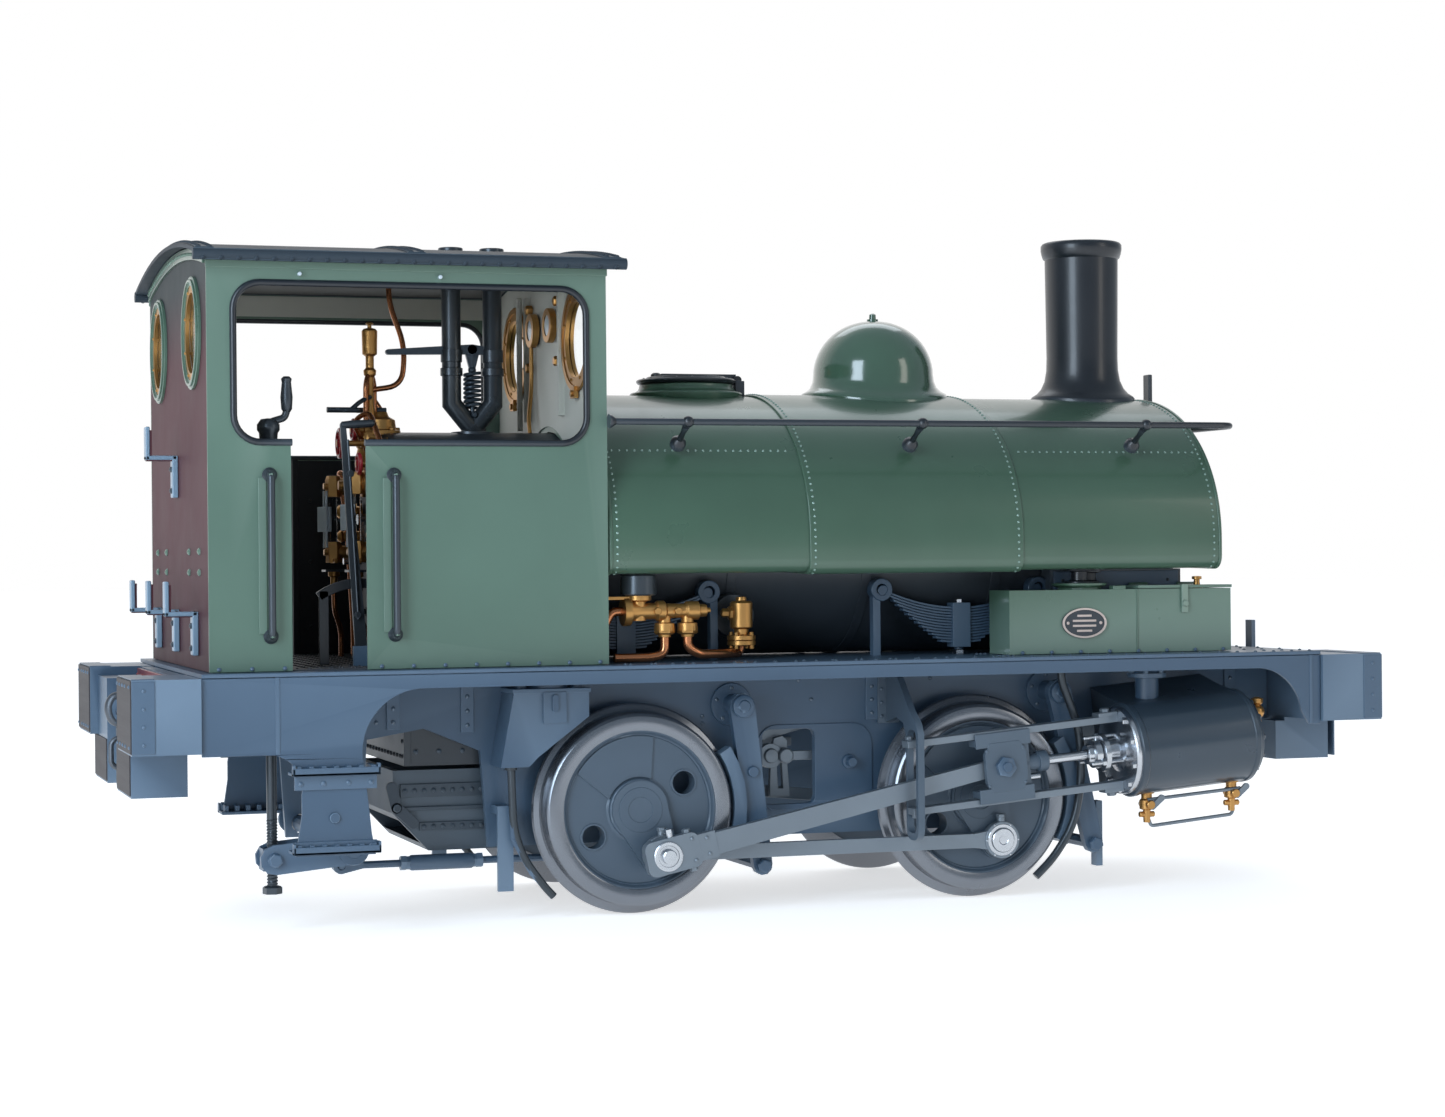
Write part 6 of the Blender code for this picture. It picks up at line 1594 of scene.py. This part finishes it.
def backhead():
    """Turret, whistle, gauge glasses and handwheels on the boiler's rear plate."""
    back = BOILER_LOW.x
    whistle = [(0, 6.5), (1.5, 6.5), (2, 4.8), (8, 4.4), (9, 6.0), (12, 6.4), (15, 5.6), (18, 7.4),
               (21.6, 6.8), (24.6, 5.2), (26.0, 3.0), (35, 1.6), (46, 1.6), (47, 2.6), (49, 2.8), (50, 1.8),
               (55, 1.8), (56.0, 3.2), (66.0, 3.4), (67.0, 2.6), (67.4, 0.9), (68.6, 0.9), (69.2, 1.8),
               (70.0, 1.0)]
    brass = [turned((back - 4, 0, 183.5), UP, whistle, 36)]
    brass.append(block((back - 7, back - 1.4), (-33.5, 33.5), (180.4, 185.6)))
    outlet = [(0, 4.6), (1.6, 4.6), (2.0, 3.2), (8.0, 3.0), (8.6, 3.8), (11.4, 3.8), (12, 2.2), (15, 2.0)]
    for y in (-27, -10, 10, 27):
        brass.append(turned((back - 1.4, y, 183), BEHIND, outlet, 24))
        brass.append(nut((back - 6.4, y, 185.6), UP, 3.4, 3.4))
    cock = [(0, 4.8), (1.8, 4.8), (2.2, 3.0), (13, 2.8), (13.6, 1.6), (19, 1.4)]
    for y in (-27, 27):
        for z in (183.0, 154.0):
            brass.append(turned((back - 0.8, y, z), BEHIND, cock, 24))
            brass.append(nut((back - 15.4, y, z - 4.6), UP, 9.2, 3.6))
        brass.append(turned((back - 15.4, y, 146), DOWN, [(0, 2.6), (2.5, 2.6), (3, 1.6), (9, 1.6)], 16))
        brass.append(drum((back - 15.4, y - 6, 150.2), ACROSS, 12, 1.1, 12))
    tap = [(0, 3.6), (1.4, 3.6), (1.8, 2.4), (9, 2.2), (10, 3.0), (12, 1.0)]
    taps_at = ((-37, 172), (37, 172), (-34, 161), (34, 161), (0, 153))
    brass += [turned((back - 1, y, z), BEHIND, tap, 20) for y, z in taps_at]
    piece("backhead_valves", "chassis", BRASS, brass, 0.15, 35, ("backhead_fittings",))

    glasses, guards, trays = [], [], []
    for y in (-27, 27):
        glasses.append(drum((back - 15.4, y, 158), UP, 21, 1.5, 20))
        guards += [tube([(back - 15.4 + a, y + b, 156), (back - 15.4 + a, y + b, 181)], 0.6, 8)
                   for a, b in ((-3.6, -3), (-3.6, 3))]
        guards.append(tilted_plate((back - 19.4, y, 168.5)))
        trays.append(block((back - 20, back - 9), (y - 5, y + 5), (145.4, 146.4)))
    piece("gauge_glass_tubes", "chassis", GLASS, glasses)
    piece("gauge_guards", "chassis", WHITE_METAL, guards, 0.1)
    piece("gauge_trays", "chassis", BLACK, trays, 0.2)

    wheels_at = ((back - 20.0, -14, 200.3, 5.8), (back - 12.0, -3, 206.5, 4.2),
                 (back - 15.0, -30, 191.0, 4.0))
    red, stems = [], []
    for x, y, z, radius in wheels_at:
        red += handwheel((x, y, z), radius)
        stems.append(drum((x - 1.5, y, z), AHEAD, back - x, 1.3, 14))
        stems.append(turned((back - 5, y, z), BEHIND, [(0, 2.6), (2.4, 2.6), (2.8, 1.9), (6, 1.7)], 20))
        stems.append(drum((back - 4.0, y, 184), UP, z - 182, 2.0, 16))
    piece("red_handwheels", "chassis", RED, red)
    piece("handwheel_stems", "chassis", BRASS, stems)
    foot = [(0, 8.6), (1.8, 8.6), (2.4, 6.8), (6.5, 6.2), (8.0, 3.6), (10.0, 2.8)]
    base = [turned((back + 0.5, 0, 204.5), UP, foot, 36)]
    base += [nut(at, UP, 1.6, 1.3) for at in around((back + 0.5, 0, 206.2), 7.2, 6, axis="Z")]
    piece("turret_base", "chassis", BRASS, base)
    grips = [tube([(back - 24, -6, 215.0), (back - 11, -6, 215.0)], 1.2, 14),
             tube([(back - 9, 5, 215.5), (back + 4, 5, 215.5)], 1.2, 14)]
    grips.append(pipe([(back - 13.5, -6, 215.2), (back - 9, -5, 219.0), (back - 4, -1, 221.0)], 1.0, 3))
    grips.append(tube([(back - 3, 5, 215.5), (back - 3, 2, 204.0)], 1.1, 12))
    piece("turret_handles", "chassis", LEVER_SLATE, grips)

    copper = []
    for y in (-27, 27):
        copper.append(pipe([(back - 15.4, y, 138), (back - 15.4, y, 128), (back - 12, y * 1.1, 120),
                            (back - 12, y * 1.1, 108)], 1.1))
        copper.append(pipe([(back - 10, y, 186), (back - 12, y * 1.15, 190), (back - 8, y * 1.3, 170),
                            (back - 5, y * 1.35, 120), (back - 5, y * 1.35, 108)], 1.3))
    copper.append(pipe([(back - 4, 0, 224), (back + 10, 0, 226), (back + 12, 2, 243), (back + 6, 6, 262),
                        (back + 6, 8, 274)], 1.2, 8))
    copper.append(pipe([(back - 4, 4, 196), (back + 3, 10, 203), (back + 6, 18, 214), (back + 1, 20, 222)],
                       1.1, 8))
    copper.append(pipe([(back - 6, -6, 196), (back - 14, -12, 210), (back - 8, -18, 214),
                        (back - 5, -34, 196), (back - 4, -38, 176)], 1.1, 8))
    loop = [(back - 6.5, -3, 204), (back - 6.5, -3, 227), (back - 4, 0, 233), (back - 1.5, 3, 227),
            (back - 1.5, 3, 204)]
    copper.append(pipe(loop, 1.1, 4))
    piece("cab_copper_pipes", "chassis", COPPER, copper)

    dress("firehole_door", SOOT_AND_SHADE, 0.4)
    dress("regulator_handle", STEEL, 0.3)


def tilted_plate(centre):
    """A gauge guard's flat plate, turned a little so that it catches the light."""
    x, y, z = centre
    bm = block((x - 0.5, x + 0.5), (y - 4.4, y + 4.4), (z - 5.5, z + 5.5))
    bmesh.ops.rotate(bm, verts=bm.verts, cent=Vector(centre),
                     matrix=Matrix.Rotation(math.radians(28), 3, "Z"))
    return bm


def reverser():
    """The reversing lever with its grip and latch rod, beside a quadrant."""
    (x, y), z = REVERSER, 112.0
    shapes = [link((x, z), (x - 7, z + 94), 2.6, 1.2, (y - 0.9, y + 0.9), 10)]
    shapes.append(ring((x, y - 1.6, z), ACROSS, 3.2, 1.5, 3.6, 28))
    grip = [(0, 0.6), (0.6, 1.4), (5, 1.7), (13, 1.6), (14, 1.1), (14.4, 0.4)]
    shapes.append(turned((x - 8, y, z + 94), (1, 0, 0.06), grip, 24))
    latch = [(x - 1.6, y - 2.0, z + 14), (x - 4.8, y - 2.0, z + 78), (x - 5.4, y - 2.0, z + 88)]
    shapes.append(tube(latch, 0.6, 10))
    shapes += [drum((x - a, y - 2.6, z + b), ACROSS, 3.4, 1.5, 14) for a, b in ((1.6, 16), (4.3, 74))]
    piece("reverser_bar", "reversing_lever", PIPE_BLACK, shapes, 0.15, 35, ("reversing_lever",))
    sector = arc((x, z), 31.0, 60, 126, 16) + arc((x, z), 27.0, 126, 60, 16)
    stand = [prism(sector, "Y", y + 2.2, y + 3.8)]
    stand += [block((x + a, x + a + 4), (y + 2.2, y + 3.8), (PLATE_Z + 1.2, z + 26)) for a in (-17, 12)]
    piece("reverser_sector", "chassis", BLACK, stand, 0.25)


def injectors():
    """Each side's injector with its valves and pipes, and the clack valve on the boiler's side."""
    barrel = [(0, 2.5), (0, 6.0), (1.6, 6.2), (3.2, 6.0), (3.6, 4.4), (8, 3.6), (14, 3.4), (15, 4.4),
              (18, 4.4), (19, 3.2), (27, 3.0), (28, 4.0), (33, 4.0), (33.6, 2.8), (36.6, 2.6), (37, 1.8)]
    valve = [(0, 3.2), (8, 3.2), (8.6, 5.4), (10.6, 5.4), (11, 3.4), (14.6, 3.0)]
    outlet = [(0, 2.6), (4.8, 2.6), (5.2, 4.2), (8.4, 4.2), (8.8, 3.0), (11, 2.6)]
    clack_body = [(0, 2.8), (0.6, 6.2), (2.4, 6.2), (2.5, 5.4), (2.8, 6.2), (4.6, 6.2), (5.2, 3.0),
                  (7.4, 3.2), (8.2, 4.9), (18.6, 4.9), (19.4, 4.2), (19.6, 2.4), (21.2, 2.2), (21.4, 0.8)]
    for word, side in SIDES.items():
        y = side * INJECTOR_Y
        brass = [turned((-70.4, y, 128), AHEAD, barrel, 32), turned((-63.4, y, 124), UP, valve, 28)]
        brass.append(nut((-63.4, y, 136), UP, 3.0, 3.6))
        for x in (-52.0, -42.0):
            brass.append(turned((x, y, 128), DOWN, outlet, 28))
            brass.append(nut((x, y, 121.5), DOWN, 3.4, 4.4))
        brass.append(drum((-35.4, y, 128), AHEAD, 3.6, 1.2, 14))
        brass += [nut((x, y + side * 3.0, 128), (0, side, 0), 1.6, 1.8) for x in (-56, -47)]
        clack = side * 60
        brass.append(turned((CLACK_X, clack, 112.0), UP, clack_body, 36))
        brass.append(nut((-17.0, clack, 126.5), BEHIND, 1.6, 3.0))
        brass.append(nut((-18.4, clack, 126.5), BEHIND, 3.2, 2.0))
        brass += [nut(at, UP, 7.2, 1.1) for at in around((CLACK_X, clack, 111.0), 4.9, 4, 45, "Z")]
        brass.append(drum((CLACK_X, clack, 125.0), (0, -side, 0), 12, 2.8, 24))
        piece(f"injector_body_{word}", "chassis", BRASS, brass, 0.1, 35, (f"injector_{word}",))
        black = [turned((-63.4, y, 134.6), UP, [(0, 7.0), (0.6, 7.6), (8.2, 7.4), (8.8, 6.6)], 36)]
        pad = [(-4, 9.6), (0, 9.6), (0.9, 9.0), (0.9, 0.5)]
        black.append(turned((CLACK_X, side * 49.0, 125.0), (0, side, 0), pad, 48))
        piece(f"injector_trim_{word}", "chassis", PIPE_BLACK, black)
        copper = [pipe([(-42, y, 118), (-42, y, 112.6), (-37, y, 109.6), (-24, side * 70, 109.4),
                        (-14, clack, 109.2), (CLACK_X, clack, 112.4)], 2.0, 7)]
        copper.append(pipe([(-52, y, 118), (-52, y, 110), (-58, y, 108.6), (-74, y, 108.6)], 1.9, 5))
        copper.append(pipe([(-70, y, 128), (-75.0, y, 128), (-78.5, y, 122), (-78.5, y, 108)], 1.9, 4))
        piece(f"injector_pipes_{word}", "chassis", COPPER, copper)


def tank_supports():
    """The water valve's arm below the tank on each side, and the tank's front feet."""
    for word, side in SIDES.items():
        arm = link((-63.4, 0), (-92, 0), 3.0, 1.2, (-0.7, 0.7))
        flat = Matrix.Rotation(math.pi / 2, 3, "X")
        bmesh.ops.rotate(arm, verts=arm.verts, cent=Vector((-63.4, 0, 0)), matrix=flat)
        bmesh.ops.translate(arm, verts=arm.verts, vec=(0, side * INJECTOR_Y, 133.6))
        piece(f"water_valve_arm_{word}", "chassis", BRASS, [arm], 0.2)
        foot = [(-1, 6.2), (1.5, 6.2), (2, 4.0), (5.0, 4.0), (5.6, 5.4), (8.0, 5.4)]
        post = [turned((150.0, side * 62, TANK_BOTTOM), DOWN, foot, 28)]
        piece(f"tank_foot_{word}", "chassis", BLACK, post)


# --- the whole picture -----------------------------------------------------------------------------

camera()
studio()
cab_sides()
cab_ends()
cab_top()
cab_floor()
tank()
on_tank()
handrail()
boiler()
smokebox()
front_boxes()
springs()
plate_edges()
buffer_beams()
frame_details()
ashpan()
wheels()
rods()
crossheads()
slide_bars()
cylinders()
valve_gear()
brake_gear()
safety_valves()
backhead()
reverser()
injectors()
tank_supports()
